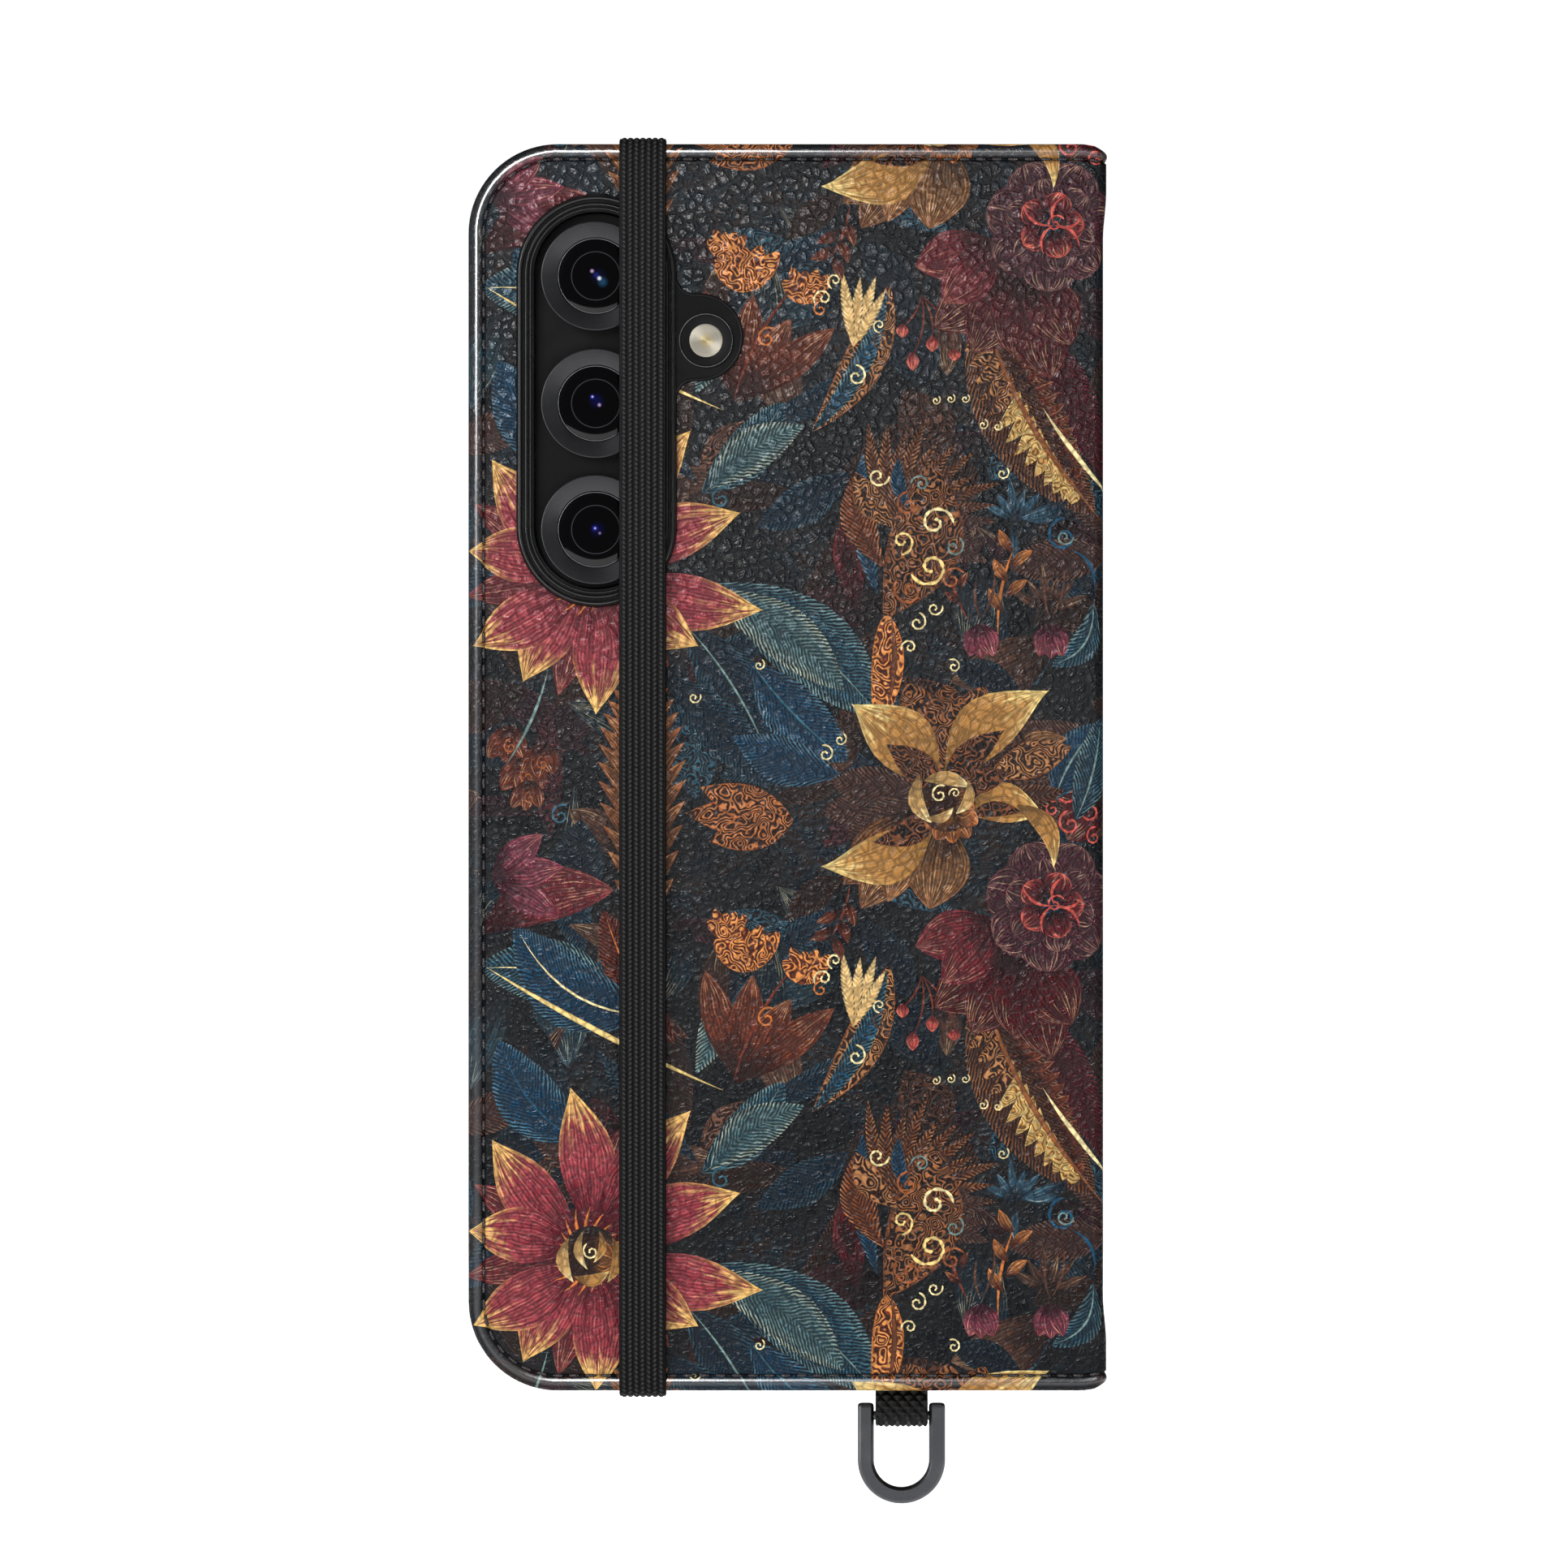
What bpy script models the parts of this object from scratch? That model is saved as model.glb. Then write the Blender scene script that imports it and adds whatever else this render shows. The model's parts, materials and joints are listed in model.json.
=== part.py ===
"""Book-style phone case, standing upright and closed, modelled piece by piece.

Axes: +X towards the spine, +Y from the back cover towards the front cover, +Z up.
The origin is the middle of the phone seat, the tray's floor that the phone's back rests on.
Outlines are drawn in millimetres and become metres when their mesh is made.
"""

import math

import bmesh
import bpy
from mathutils import Matrix, Vector

MM = 0.001

# Covers: outline in X and Z, layers in Y
CASE_LEFT = -38.8
CASE_RIGHT = 39.85
CASE_HALF_HEIGHT = 76.85
CORNER_RADIUS = 11.0
PANEL_RIGHT = 37.1
BACK_FACE = -3.9
FRONT_FACE = 12.75
SKIN = 0.6
BOARD = 1.0
LINING = 0.5
LAYER_GAP = 0.15
PANEL_THICKNESS = SKIN + BOARD + LINING + 2 * LAYER_GAP
EDGE_INSET = SKIN + LAYER_GAP

# Stitching round the three free edges
STITCH_INSET = 1.9
STITCH_END = 36.8
GROOVE_HALF_WIDTH = 0.3
GROOVE_DEPTH = 0.35
THREAD_RADIUS = 0.2
THREAD_DEPTH = 0.1

# Creases between the covers and the spine
CREASE_RADIUS = 1.2
CREASE_X = CASE_RIGHT - CREASE_RADIUS
BACK_CREASE = (CREASE_X, BACK_FACE + CREASE_RADIUS)
FRONT_CREASE = (CREASE_X, FRONT_FACE - CREASE_RADIUS)

# Phone tray
POCKET_HALF_WIDTH = 35.4
POCKET_HALF_HEIGHT = 73.6
POCKET_RADIUS = 9.5
TRAY_WALL = 1.3
TRAY_FLOOR = 0.7
TRAY_RIM = 8.0
LIP = 0.5
PORT_HALF_WIDTH = 6.5
PORT_LEVELS = (1.3, 6.3)
KEY_LEVELS = (2.6, 5.4)
KEY_SLOT_CLEARANCE = 0.2
KEY_OUTER = -37.3
KEY_INNER = -35.6
VOLUME_KEY = (21.0, 41.0)
POWER_KEY = (4.0, 14.5)

# Camera window: a stadium with a lug for the flash
WINDOW_X = -23.0
WINDOW_RADIUS = 9.85
WINDOW_LOW = 29.65
WINDOW_HIGH = 60.75
LUG_X = -10.3
LUG_Z = 53.0
LUG_RADIUS = 5.35
LUG_FILLET = 2.3
WINDOW_CLEARANCE = 0.2
BEZEL_WIDTH = 2.2
LENS_HEIGHTS = (60.55, 44.85, 29.3)
LENS_X = -23.1
FLASH_X = -9.5
FLASH_Z = 52.6

# Elastic band
BAND_X = (-20.2, -14.4)
BAND_THICKNESS = 0.6
BAND_LEVEL = -4.75
BAND_RUN = 66.0

# Webbing loop and U ring
WEBBING_X = (11.4, 17.85)
HANG_Y = -1.1
TAB_PIVOT_Z = -76.85
PIN_Z = -80.05
PIN_RADIUS = 0.55
RING_X = 14.6
RING_BEND_Z = -85.5
RING_TOP_Z = -78.5
RING_OUTER_RADIUS = 5.4
RING_INNER_RADIUS = 3.4
RING_HALF_THICKNESS = 1.0

# Pivot of each moving group, in millimetres
PIVOTS = {
    "back": (0.0, 0.0, 0.0),
    "spine": (*BACK_CREASE, 0.0),
    "front_cover": (*FRONT_CREASE, 0.0),
    "band": (sum(BAND_X) / 2, BAND_LEVEL, 0.0),
    "tab": (RING_X, HANG_Y, TAB_PIVOT_Z),
    "ring": (RING_X, HANG_Y, PIN_Z),
    "volume_key": (KEY_OUTER, sum(KEY_LEVELS) / 2, sum(VOLUME_KEY) / 2),
    "power_key": (KEY_OUTER, sum(KEY_LEVELS) / 2, sum(POWER_KEY) / 2),
}
PARENTS = {
    "spine": "back",
    "front_cover": "spine",
    "band": "back",
    "tab": "back",
    "ring": "tab",
    "volume_key": "back",
    "power_key": "back",
}

ARC_STEPS = 10


# ---------------------------------------------------------------- materials


def make_material(name, colour, roughness, metallic=0.0):
    material = bpy.data.materials.new(name)
    material.use_nodes = True
    shader = material.node_tree.nodes["Principled BSDF"]
    shader.inputs["Base Color"].default_value = (*colour, 1.0)
    shader.inputs["Roughness"].default_value = roughness
    shader.inputs["Metallic"].default_value = metallic
    material.diffuse_color = (*colour, 1.0)
    return material


def make_materials():
    return {
        "printed_skin": make_material("printed_skin", (0.10, 0.05, 0.06), 0.5),
        "board": make_material("board", (0.35, 0.28, 0.20), 0.9),
        "lining": make_material("lining", (0.03, 0.03, 0.035), 0.9),
        "pocket": make_material("pocket", (0.025, 0.025, 0.028), 0.6),
        "thread": make_material("thread", (0.01, 0.01, 0.012), 0.7),
        "tray": make_material("tray", (0.015, 0.015, 0.016), 0.45),
        "tape": make_material("tape", (0.12, 0.12, 0.12), 0.9),
        "window_rim": make_material("window_rim", (0.012, 0.012, 0.013), 0.3),
        "camera_plate": make_material("camera_plate", (0.014, 0.014, 0.015), 0.4),
        "lens_metal": make_material("lens_metal", (0.04, 0.04, 0.042), 0.25, 1.0),
        "lens_black": make_material("lens_black", (0.002, 0.002, 0.003), 0.3),
        "lens_glass": make_material("lens_glass", (0.01, 0.01, 0.02), 0.03),
        "flash": make_material("flash", (0.62, 0.58, 0.48), 0.3),
        "elastic": make_material("elastic", (0.012, 0.012, 0.013), 0.8),
        "webbing": make_material("webbing", (0.01, 0.01, 0.01), 0.55),
        "gunmetal": make_material("gunmetal", (0.10, 0.10, 0.105), 0.3, 1.0),
    }


# ----------------------------------------------------------------- outlines


def arc(centre_a, centre_b, radius, start, end, steps=ARC_STEPS):
    """Points on an arc, ends included, from start to end in degrees."""
    points = []
    for i in range(steps + 1):
        angle = math.radians(start + (end - start) * i / steps)
        points.append(
            (centre_a + radius * math.cos(angle), centre_b + radius * math.sin(angle))
        )
    return points


def free_edge(inset, right):
    """The cover's open outline: right end of the top edge, round the left side, bottom edge."""
    radius = CORNER_RADIUS - inset
    x = CASE_LEFT + CORNER_RADIUS
    z = CASE_HALF_HEIGHT - CORNER_RADIUS
    return (
        [(right, CASE_HALF_HEIGHT - inset)]
        + arc(x, z, radius, 90, 180)
        + arc(x, -z, radius, 180, 270)
        + [(right, inset - CASE_HALF_HEIGHT)]
    )


def rounded_rectangle(half_width, half_height, radius):
    x = half_width - radius
    z = half_height - radius
    return (
        arc(x, z, radius, 0, 90)
        + arc(-x, z, radius, 90, 180)
        + arc(-x, -z, radius, 180, 270)
        + arc(x, -z, radius, 270, 360)
    )


def box_outline(low_a, high_a, low_b, high_b):
    return [(low_a, low_b), (high_a, low_b), (high_a, high_b), (low_a, high_b)]


def circle(radius, steps=48):
    return arc(0, 0, radius, 0, 360, steps)[:-1]


def stadium(grow):
    radius = WINDOW_RADIUS + grow
    return arc(WINDOW_X, WINDOW_HIGH, radius, 0, 180, 20) + arc(
        WINDOW_X, WINDOW_LOW, radius, 180, 360, 20
    )


def lug_edge(grow):
    """The lug's edge from the stadium's side below it, round its end, to the side above it."""
    side = WINDOW_X + WINDOW_RADIUS
    fillet = LUG_FILLET - grow
    low = LUG_Z - LUG_RADIUS - LUG_FILLET
    high = LUG_Z + LUG_RADIUS + LUG_FILLET
    return (
        arc(side + LUG_FILLET, low, fillet, 180, 90, 6)
        + arc(LUG_X, LUG_Z, LUG_RADIUS + grow, -90, 90, 16)
        + arc(side + LUG_FILLET, high, fillet, 270, 180, 6)
    )


def window(grow):
    """The stadium and the lug as one outline, grown outwards."""
    radius = WINDOW_RADIUS + grow
    return (
        lug_edge(grow)
        + arc(WINDOW_X, WINDOW_HIGH, radius, 0, 180, 20)
        + arc(WINDOW_X, WINDOW_LOW, radius, 180, 360, 20)
    )


def thick_path(path, thickness):
    """A closed outline: the path, and the path again moved to its left by the thickness."""
    moved = []
    for i, point in enumerate(path):
        before = Vector(path[max(i - 1, 0)])
        after = Vector(path[min(i + 1, len(path) - 1)])
        here = Vector(point)
        legs = [(b - a).normalized() for a, b in ((before, here), (here, after)) if a != b]
        normals = [Vector((-leg.y, leg.x)) for leg in legs]
        normal = sum(normals, Vector((0.0, 0.0))).normalized()
        stretch = thickness / max(normal.dot(normals[0]), 0.5)
        moved.append(tuple(here + normal * stretch))
    return path + moved[::-1]


# ------------------------------------------------------------------ meshing


def lift(axis, pair, level):
    """A point of an outline as a 3-D point in metres; the outline is square to the axis."""
    a, b = pair
    places = {"X": (level, a, b), "Y": (a, level, b), "Z": (a, b, level)}
    return Vector(places[axis]) * MM


def finish_mesh(name, shape, material):
    bmesh.ops.recalc_face_normals(shape, faces=shape.faces)
    mesh = bpy.data.meshes.new(name)
    shape.to_mesh(mesh)
    shape.free()
    piece = bpy.data.objects.new(name, mesh)
    bpy.context.scene.collection.objects.link(piece)
    if material:
        mesh.materials.append(material)
        mesh.shade_smooth()
        mesh.set_sharp_from_angle(angle=math.radians(30))
    return piece


def loft(name, sections, material=None, axis="Y", hollow=False):
    """A closed solid through outlines of equal length, each given as (outline, level).

    A hollow one joins its last outline to its first and has no caps, like a frame.
    """
    shape = bmesh.new()
    rings = []
    for outline, level in sections:
        rings.append([shape.verts.new(lift(axis, pair, level)) for pair in outline])
    pairs = list(zip(rings, rings[1:]))
    if hollow:
        pairs.append((rings[-1], rings[0]))
    else:
        shape.faces.new(rings[0])
        shape.faces.new(rings[-1])
    for lower, upper in pairs:
        for i in range(len(lower)):
            j = (i + 1) % len(lower)
            shape.faces.new((lower[i], lower[j], upper[j], upper[i]))
    return finish_mesh(name, shape, material)


def slab(name, outline, low, high, material=None, axis="Y"):
    return loft(name, [(outline, low), (outline, high)], material, axis)


def turned(name, profile, material, steps=48):
    """A profile of (radius, depth along Y) points turned about the Y axis through the origin."""
    shape = bmesh.new()
    corners = [shape.verts.new(Vector((radius, depth, 0)) * MM) for radius, depth in profile]
    edges = [
        shape.edges.new((corner, corners[(i + 1) % len(corners)]))
        for i, corner in enumerate(corners)
    ]
    bmesh.ops.spin(
        shape,
        geom=corners + edges,
        cent=(0, 0, 0),
        axis=(0, 1, 0),
        angle=2 * math.pi,
        steps=steps,
        use_merge=True,
    )
    bmesh.ops.remove_doubles(shape, verts=shape.verts, dist=1e-7)
    on_axis = [
        edge
        for edge in shape.edges
        if all(math.hypot(v.co.x, v.co.z) < 1e-7 for v in edge.verts)
    ]
    bmesh.ops.delete(shape, geom=on_axis, context="EDGES")
    return finish_mesh(name, shape, material)


def rod(name, radius, low, high, material=None, sides=24):
    """A round bar along X, centred on the X axis."""
    return slab(name, circle(radius, sides), low, high, material, axis="X")


def thread(name, path, level, material):
    """A thread laid along a path in X and Z at one level of Y."""
    curve = bpy.data.curves.new(name, "CURVE")
    curve.dimensions = "3D"
    curve.bevel_depth = THREAD_RADIUS * MM
    curve.bevel_resolution = 1
    curve.use_fill_caps = True
    spline = curve.splines.new("POLY")
    spline.points.add(len(path) - 1)
    for point, pair in zip(spline.points, path):
        point.co = (*lift("Y", pair, level), 1.0)
    piece = bpy.data.objects.new(name, curve)
    bpy.context.scene.collection.objects.link(piece)
    curve.materials.append(material)
    return piece


def boolean(piece, other, operation):
    """Combine with another solid, which is then only a guide."""
    modifier = piece.modifiers.new(other.name, "BOOLEAN")
    modifier.operation = operation
    modifier.solver = "EXACT"
    modifier.object = other
    other.hide_render = True
    other.display_type = "WIRE"


def cut(piece, cutter):
    boolean(piece, cutter, "DIFFERENCE")


def join(piece, other):
    boolean(piece, other, "UNION")


def round_edges(piece, width, segments=2):
    modifier = piece.modifiers.new("rounded_edges", "BEVEL")
    modifier.width = width * MM
    modifier.segments = segments
    modifier.limit_method = "ANGLE"
    modifier.angle_limit = math.radians(40)


# -------------------------------------------------------------------- bodies


def make_pivots():
    """One empty for each moving group, placed on its joint's axis."""
    empties = {}
    for body, pivot in PIVOTS.items():
        empty = bpy.data.objects.new(f"{body}_pivot", None)
        empty.empty_display_size = 10 * MM
        bpy.context.scene.collection.objects.link(empty)
        place = Vector(pivot)
        parent = PARENTS.get(body)
        if parent:
            empty.parent = empties[parent]
            place -= Vector(PIVOTS[parent])
        empty.location = place * MM
        empties[body] = empty
    return empties


def attach(empties, body, pieces, at=(0.0, 0.0, 0.0)):
    """Hang pieces on a group's pivot, their own origin at a place in the case's frame."""
    offset = (Vector(at) - Vector(PIVOTS[body])) * MM
    for piece in pieces:
        piece.parent = empties[body]
        piece.location = offset
        for modifier in piece.modifiers:
            cutter = getattr(modifier, "object", None)
            if cutter:
                cutter.parent = empties[body]
                cutter.location = offset


# -------------------------------------------------------------------- covers


def make_cover(side, outer, inward, materials):
    """Skin, board, lining and stitching of one cover.

    outer is the level of its outer face, and inward the direction from there to its lining.
    """

    def level(depth):
        return outer + inward * depth

    rim = level(PANEL_THICKNESS)
    rounding = [(0.0, 0.9), (0.15, 0.45), (0.45, 0.12), (0.9, 0.0)]
    sections = [(free_edge(0.0, PANEL_RIGHT), rim)]
    sections += [(free_edge(inset, PANEL_RIGHT), level(depth)) for inset, depth in rounding]
    skin = loft(f"{side}_skin", sections, materials["printed_skin"])

    past = 5.0
    hollow = free_edge(SKIN, PANEL_RIGHT + past)
    cut(skin, slab(f"{side}_skin_hollow", hollow, level(SKIN), level(PANEL_THICKNESS + past)))
    near = free_edge(STITCH_INSET - GROOVE_HALF_WIDTH, PANEL_RIGHT + past)
    far = free_edge(STITCH_INSET + GROOVE_HALF_WIDTH, PANEL_RIGHT + past)
    cut(skin, slab(f"{side}_stitch_groove", near + far[::-1], level(-1.0), level(GROOVE_DEPTH)))

    inner = free_edge(EDGE_INSET, PANEL_RIGHT)
    board_depth = SKIN + LAYER_GAP
    lining_depth = board_depth + BOARD + LAYER_GAP
    board = slab(
        f"{side}_board", inner, level(board_depth), level(board_depth + BOARD), materials["board"]
    )
    lining = slab(
        f"{side}_lining", inner, level(lining_depth), level(lining_depth + LINING), materials["lining"]
    )
    seam = thread(
        f"{side}_stitching", free_edge(STITCH_INSET, STITCH_END), level(THREAD_DEPTH), materials["thread"]
    )
    return skin, board, lining, seam


def make_back_cover(empties, materials):
    skin, board, lining, seam = make_cover("back", BACK_FACE, 1, materials)
    for piece in (skin, board, lining):
        opening = slab(f"{piece.name}_window", window(WINDOW_CLEARANCE), -8.0, 3.0)
        cut(piece, opening)
    attach(empties, "back", [skin, board, lining, seam])


def make_front_cover(empties, materials):
    attach(empties, "front_cover", make_cover("front", FRONT_FACE, -1, materials))


def make_card_pockets(empties, materials):
    """A full-height cash pocket on the front lining, and three stepped card pockets on it."""
    base = FRONT_FACE - PANEL_THICKNESS - LAYER_GAP
    cash_low = base - 0.5
    rest = cash_low - 0.1
    cash = slab(
        "cash_pocket",
        rounded_rectangle(35.5, 74.0, 7.5),
        cash_low,
        base,
        materials["pocket"],
    )
    border = 1.5
    left, right = -31.0, 32.0
    pieces = [cash]
    steps = [(30.3, 45.0, 9.15), (13.0, 30.0, 8.65), (-70.0, 12.7, 8.15)]
    for number, (bottom, mouth, outer) in enumerate(steps, 1):
        name = f"card_pocket_{number}"
        sheet = outer + 0.4
        pocket = slab(
            name, box_outline(left, right, bottom, mouth), outer, rest, materials["pocket"]
        )
        lowest = bottom + border if number == 3 else bottom - border
        if sheet < rest - 0.1:
            hollow = box_outline(left + border, right - border, lowest, mouth + border)
            cut(pocket, slab(f"{name}_hollow", hollow, sheet, rest + 1.0))
        pieces.append(pocket)
    attach(empties, "front_cover", pieces)


def make_spine(empties, materials):
    """The spine's skin is one strip whose two rounded long edges turn about the creases."""
    inner_face = CASE_RIGHT - SKIN
    low_x, low_y = BACK_CREASE
    high_x, high_y = FRONT_CREASE
    profile = arc(high_x, high_y, CREASE_RADIUS, 0, 300, 20)
    profile += arc(low_x, low_y, CREASE_RADIUS, 60, 360, 20)
    skin = slab(
        "spine_skin",
        profile,
        -CASE_HALF_HEIGHT,
        CASE_HALF_HEIGHT,
        materials["printed_skin"],
        axis="Z",
    )
    fold_gap = CREASE_RADIUS + LAYER_GAP
    start, end = low_y + fold_gap, high_y - fold_gap
    board_face = inner_face - LAYER_GAP
    lining_face = board_face - BOARD - LAYER_GAP
    height = CASE_HALF_HEIGHT - EDGE_INSET
    for turn_in, z in (("top", CASE_HALF_HEIGHT - SKIN), ("bottom", -CASE_HALF_HEIGHT)):
        hem = box_outline(lining_face - LINING, inner_face + SKIN / 2, start, end)
        join(skin, slab(f"spine_{turn_in}_hem", hem, z, z + SKIN, axis="Z"))
    board = slab(
        "spine_board",
        box_outline(board_face - BOARD, board_face, start, end),
        -height,
        height,
        materials["board"],
        axis="Z",
    )
    lining = slab(
        "spine_lining",
        box_outline(lining_face - LINING, lining_face, start, end),
        -height,
        height,
        materials["lining"],
        axis="Z",
    )
    attach(empties, "spine", [skin, board, lining])


# ---------------------------------------------------------------------- tray


def make_tray(empties, materials):
    outer_x = POCKET_HALF_WIDTH + TRAY_WALL
    outer_z = POCKET_HALF_HEIGHT + TRAY_WALL
    outer_radius = POCKET_RADIUS + TRAY_WALL

    def shell(inset):
        return rounded_rectangle(outer_x - inset, outer_z - inset, outer_radius - inset)

    def pocket(inset):
        return rounded_rectangle(
            POCKET_HALF_WIDTH - inset, POCKET_HALF_HEIGHT - inset, POCKET_RADIUS - inset
        )

    tray = loft(
        "phone_tray",
        [(shell(0.4), -TRAY_FLOOR), (shell(0.0), -0.3), (shell(0.0), 7.6), (shell(0.3), TRAY_RIM)],
        materials["tray"],
    )
    space = [(pocket(0.0), 0.0), (pocket(0.0), 7.4), (pocket(LIP), 7.7), (pocket(LIP), 9.0)]
    cut(tray, loft("phone_space", space))
    cut(tray, slab("tray_window", window(0.8), -3.0, 1.0))
    port = box_outline(-PORT_HALF_WIDTH, PORT_HALF_WIDTH, *PORT_LEVELS)
    cut(tray, slab("port_cutter", port, -80.0, -72.0, axis="Z"))
    for name, x in (("speaker_cutter", 16.5), ("microphone_cutter", -12.0)):
        half = 5.0 if name == "speaker_cutter" else 1.2
        cut(tray, slab(name, box_outline(x - half, x + half, 3.0, 4.6), -80.0, -72.0, axis="Z"))
    cut(tray, slab("top_microphone_cutter", box_outline(8.0, 10.0, 3.0, 4.6), 72.0, 80.0, axis="Z"))
    for name, (low, high) in (("volume_slot", VOLUME_KEY), ("power_slot", POWER_KEY)):
        slot = box_outline(
            KEY_LEVELS[0] - KEY_SLOT_CLEARANCE,
            KEY_LEVELS[1] + KEY_SLOT_CLEARANCE,
            low - KEY_SLOT_CLEARANCE,
            high + KEY_SLOT_CLEARANCE,
        )
        cut(tray, slab(name, slot, -40.0, -34.0, axis="X"))
    tape = slab(
        "tray_tape", box_outline(-30.0, 30.0, -62.0, 15.0), -1.35, -0.85, materials["tape"]
    )
    attach(empties, "back", [tray, tape])


def make_keys(empties, materials):
    keys = (
        ("volume_button", "volume_key", VOLUME_KEY),
        ("power_button", "power_key", POWER_KEY),
    )
    for name, body, (low, high) in keys:
        key = slab(
            name, box_outline(*KEY_LEVELS, low, high), KEY_OUTER, KEY_INNER, materials["tray"], axis="X"
        )
        round_edges(key, 0.4)
        attach(empties, body, [key])


# -------------------------------------------------------------------- camera


def make_window_rim(empties, materials):
    """A three-ridged stadium frame, joined to the lug that carries the flash."""
    profile = [
        (0.0, -1.6),
        (0.0, -4.1),
        (0.25, -4.4),
        (0.75, -4.5),
        (1.0, -4.3),
        (1.25, -4.3),
        (1.5, -4.5),
        (1.8, -4.3),
        (2.05, -4.3),
        (BEZEL_WIDTH, -4.1),
        (BEZEL_WIDTH, -1.6),
    ]
    sections = [(stadium(-inset), level) for inset, level in profile]
    rim = loft("camera_bezel", sections, materials["window_rim"], hollow=True)
    inside = WINDOW_X + WINDOW_RADIUS - 0.9
    reach = LUG_RADIUS + LUG_FILLET
    lug = [(inside, LUG_Z - reach)] + lug_edge(0.0) + [(inside, LUG_Z + reach)]
    join(rim, slab("flash_lug", lug, -1.6, -4.15))
    flash_seat = [
        (x + FLASH_X, z + FLASH_Z) for x, z in circle(3.35)
    ]
    cut(rim, slab("flash_seat", flash_seat, -6.0, -3.6))
    attach(empties, "back", [rim])


def make_camera(empties, materials):
    plate = slab("camera_plate", stadium(-BEZEL_WIDTH - 0.15), -3.0, -2.2, materials["camera_plate"])
    for number, height in enumerate(LENS_HEIGHTS, 1):
        hole = [(x + LENS_X, z + height) for x, z in circle(4.75)]
        cut(plate, slab(f"lens_hole_{number}", hole, -4.0, -1.0))
    attach(empties, "back", [plate])

    ring_profile = [
        (4.7, -3.15),
        (6.75, -3.15),
        (6.75, -3.85),
        (6.6, -4.0),
        (5.1, -4.35),
        (4.8, -4.35),
        (4.7, -4.25),
    ]
    glass_profile = [(0.0, -3.8), (4.55, -3.8), (4.55, -4.1), (4.4, -4.2), (0.0, -4.2)]
    barrel_profile = [
        (0.0, -2.2),
        (4.55, -2.2),
        (4.55, -3.65),
        (4.2, -3.65),
        (3.1, -3.3),
        (2.9, -2.6),
        (0.0, -2.6),
    ]
    for number, height in enumerate(LENS_HEIGHTS, 1):
        pieces = [
            turned(f"lens_ring_{number}", ring_profile, materials["lens_metal"]),
            turned(f"lens_glass_{number}", glass_profile, materials["lens_glass"]),
            turned(f"lens_barrel_{number}", barrel_profile, materials["lens_black"], 32),
        ]
        attach(empties, "back", pieces, at=(LENS_X, 0.0, height))

    flash_ring_profile = [(2.2, -3.75), (3.2, -3.75), (3.2, -4.2), (3.1, -4.3), (2.3, -4.3), (2.2, -4.2)]
    flash_profile = [(0.0, -3.75), (2.0, -3.75), (2.0, -4.05), (1.8, -4.2), (0.0, -4.2)]
    flash = [
        turned("flash_ring", flash_ring_profile, materials["camera_plate"], 32),
        turned("flash_diffuser", flash_profile, materials["flash"], 32),
    ]
    attach(empties, "back", flash, at=(FLASH_X, 0.0, FLASH_Z))


# ------------------------------------------------------------ band and ring


def make_band(empties, materials):
    """A straight run over the back cover, and two ends that turn over its edges to the tray."""
    strap = slab(
        "band_strap",
        box_outline(*BAND_X, -BAND_RUN, BAND_RUN),
        BAND_LEVEL - BAND_THICKNESS,
        BAND_LEVEL,
        materials["elastic"],
    )
    attach(empties, "band", [strap])
    outside = [
        (BAND_LEVEL, 66.3),
        (BAND_LEVEL, 71.6),
        (-4.2, 75.3),
        (-3.75, 76.6),
        (-3.0, 76.95),
        (-1.4, 76.95),
        (-1.4, BAND_RUN),
    ]
    for name, side in (("band_end_top", 1), ("band_end_bottom", -1)):
        path = [(y, z * side) for y, z in outside]
        end = slab(name, thick_path(path, BAND_THICKNESS * side), *BAND_X, materials["elastic"], "X")
        attach(empties, "back", [end])


def make_ring_and_webbing(empties, materials):
    tail = slab(
        "webbing_tail",
        box_outline(*WEBBING_X, -76.7, -66.0),
        HANG_Y - 0.3,
        HANG_Y + 0.3,
        materials["webbing"],
    )
    attach(empties, "back", [tail])

    loop_radius = 1.38
    half = [(0.3, -77.1), (0.62, -77.8), (0.75, -78.5)]
    outline = [(HANG_Y - y, z) for y, z in half]
    outline += arc(HANG_Y, PIN_Z, loop_radius, 165, 375, 14)
    outline += [(HANG_Y + y, z) for y, z in reversed(half)]
    loop = slab("webbing_loop", outline, *WEBBING_X, materials["webbing"], axis="X")
    eye = [(y + HANG_Y, z + PIN_Z) for y, z in circle(PIN_RADIUS + 0.2, 20)]
    cut(loop, slab("webbing_eye", eye, WEBBING_X[0] - 2, WEBBING_X[1] + 2, axis="X"))
    attach(empties, "tab", [loop])

    outer, inner = RING_OUTER_RADIUS, RING_INNER_RADIUS
    outline = (
        [(RING_X + inner, RING_TOP_Z), (RING_X + outer, RING_TOP_Z)]
        + arc(RING_X, RING_BEND_Z, outer, 0, -180, 24)
        + [(RING_X - outer, RING_TOP_Z), (RING_X - inner, RING_TOP_Z)]
        + arc(RING_X, RING_BEND_Z, inner, 180, 360, 24)
    )
    low, high = HANG_Y - RING_HALF_THICKNESS, HANG_Y + RING_HALF_THICKNESS
    ring = slab("u_ring", outline, low, high, materials["gunmetal"])
    round_edges(ring, 0.25)
    bore_half_length = 4.7
    bore = [(y + HANG_Y, z + PIN_Z) for y, z in circle(PIN_RADIUS + 0.15, 20)]
    cut(ring, slab("pin_bore", bore, RING_X - bore_half_length, RING_X + bore_half_length, axis="X"))
    attach(empties, "ring", [ring])

    pin_half_length = bore_half_length - 0.1
    pin = rod("ring_pin", PIN_RADIUS, -pin_half_length, pin_half_length, materials["gunmetal"])
    attach(empties, "ring", [pin], at=PIVOTS["ring"])


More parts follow.
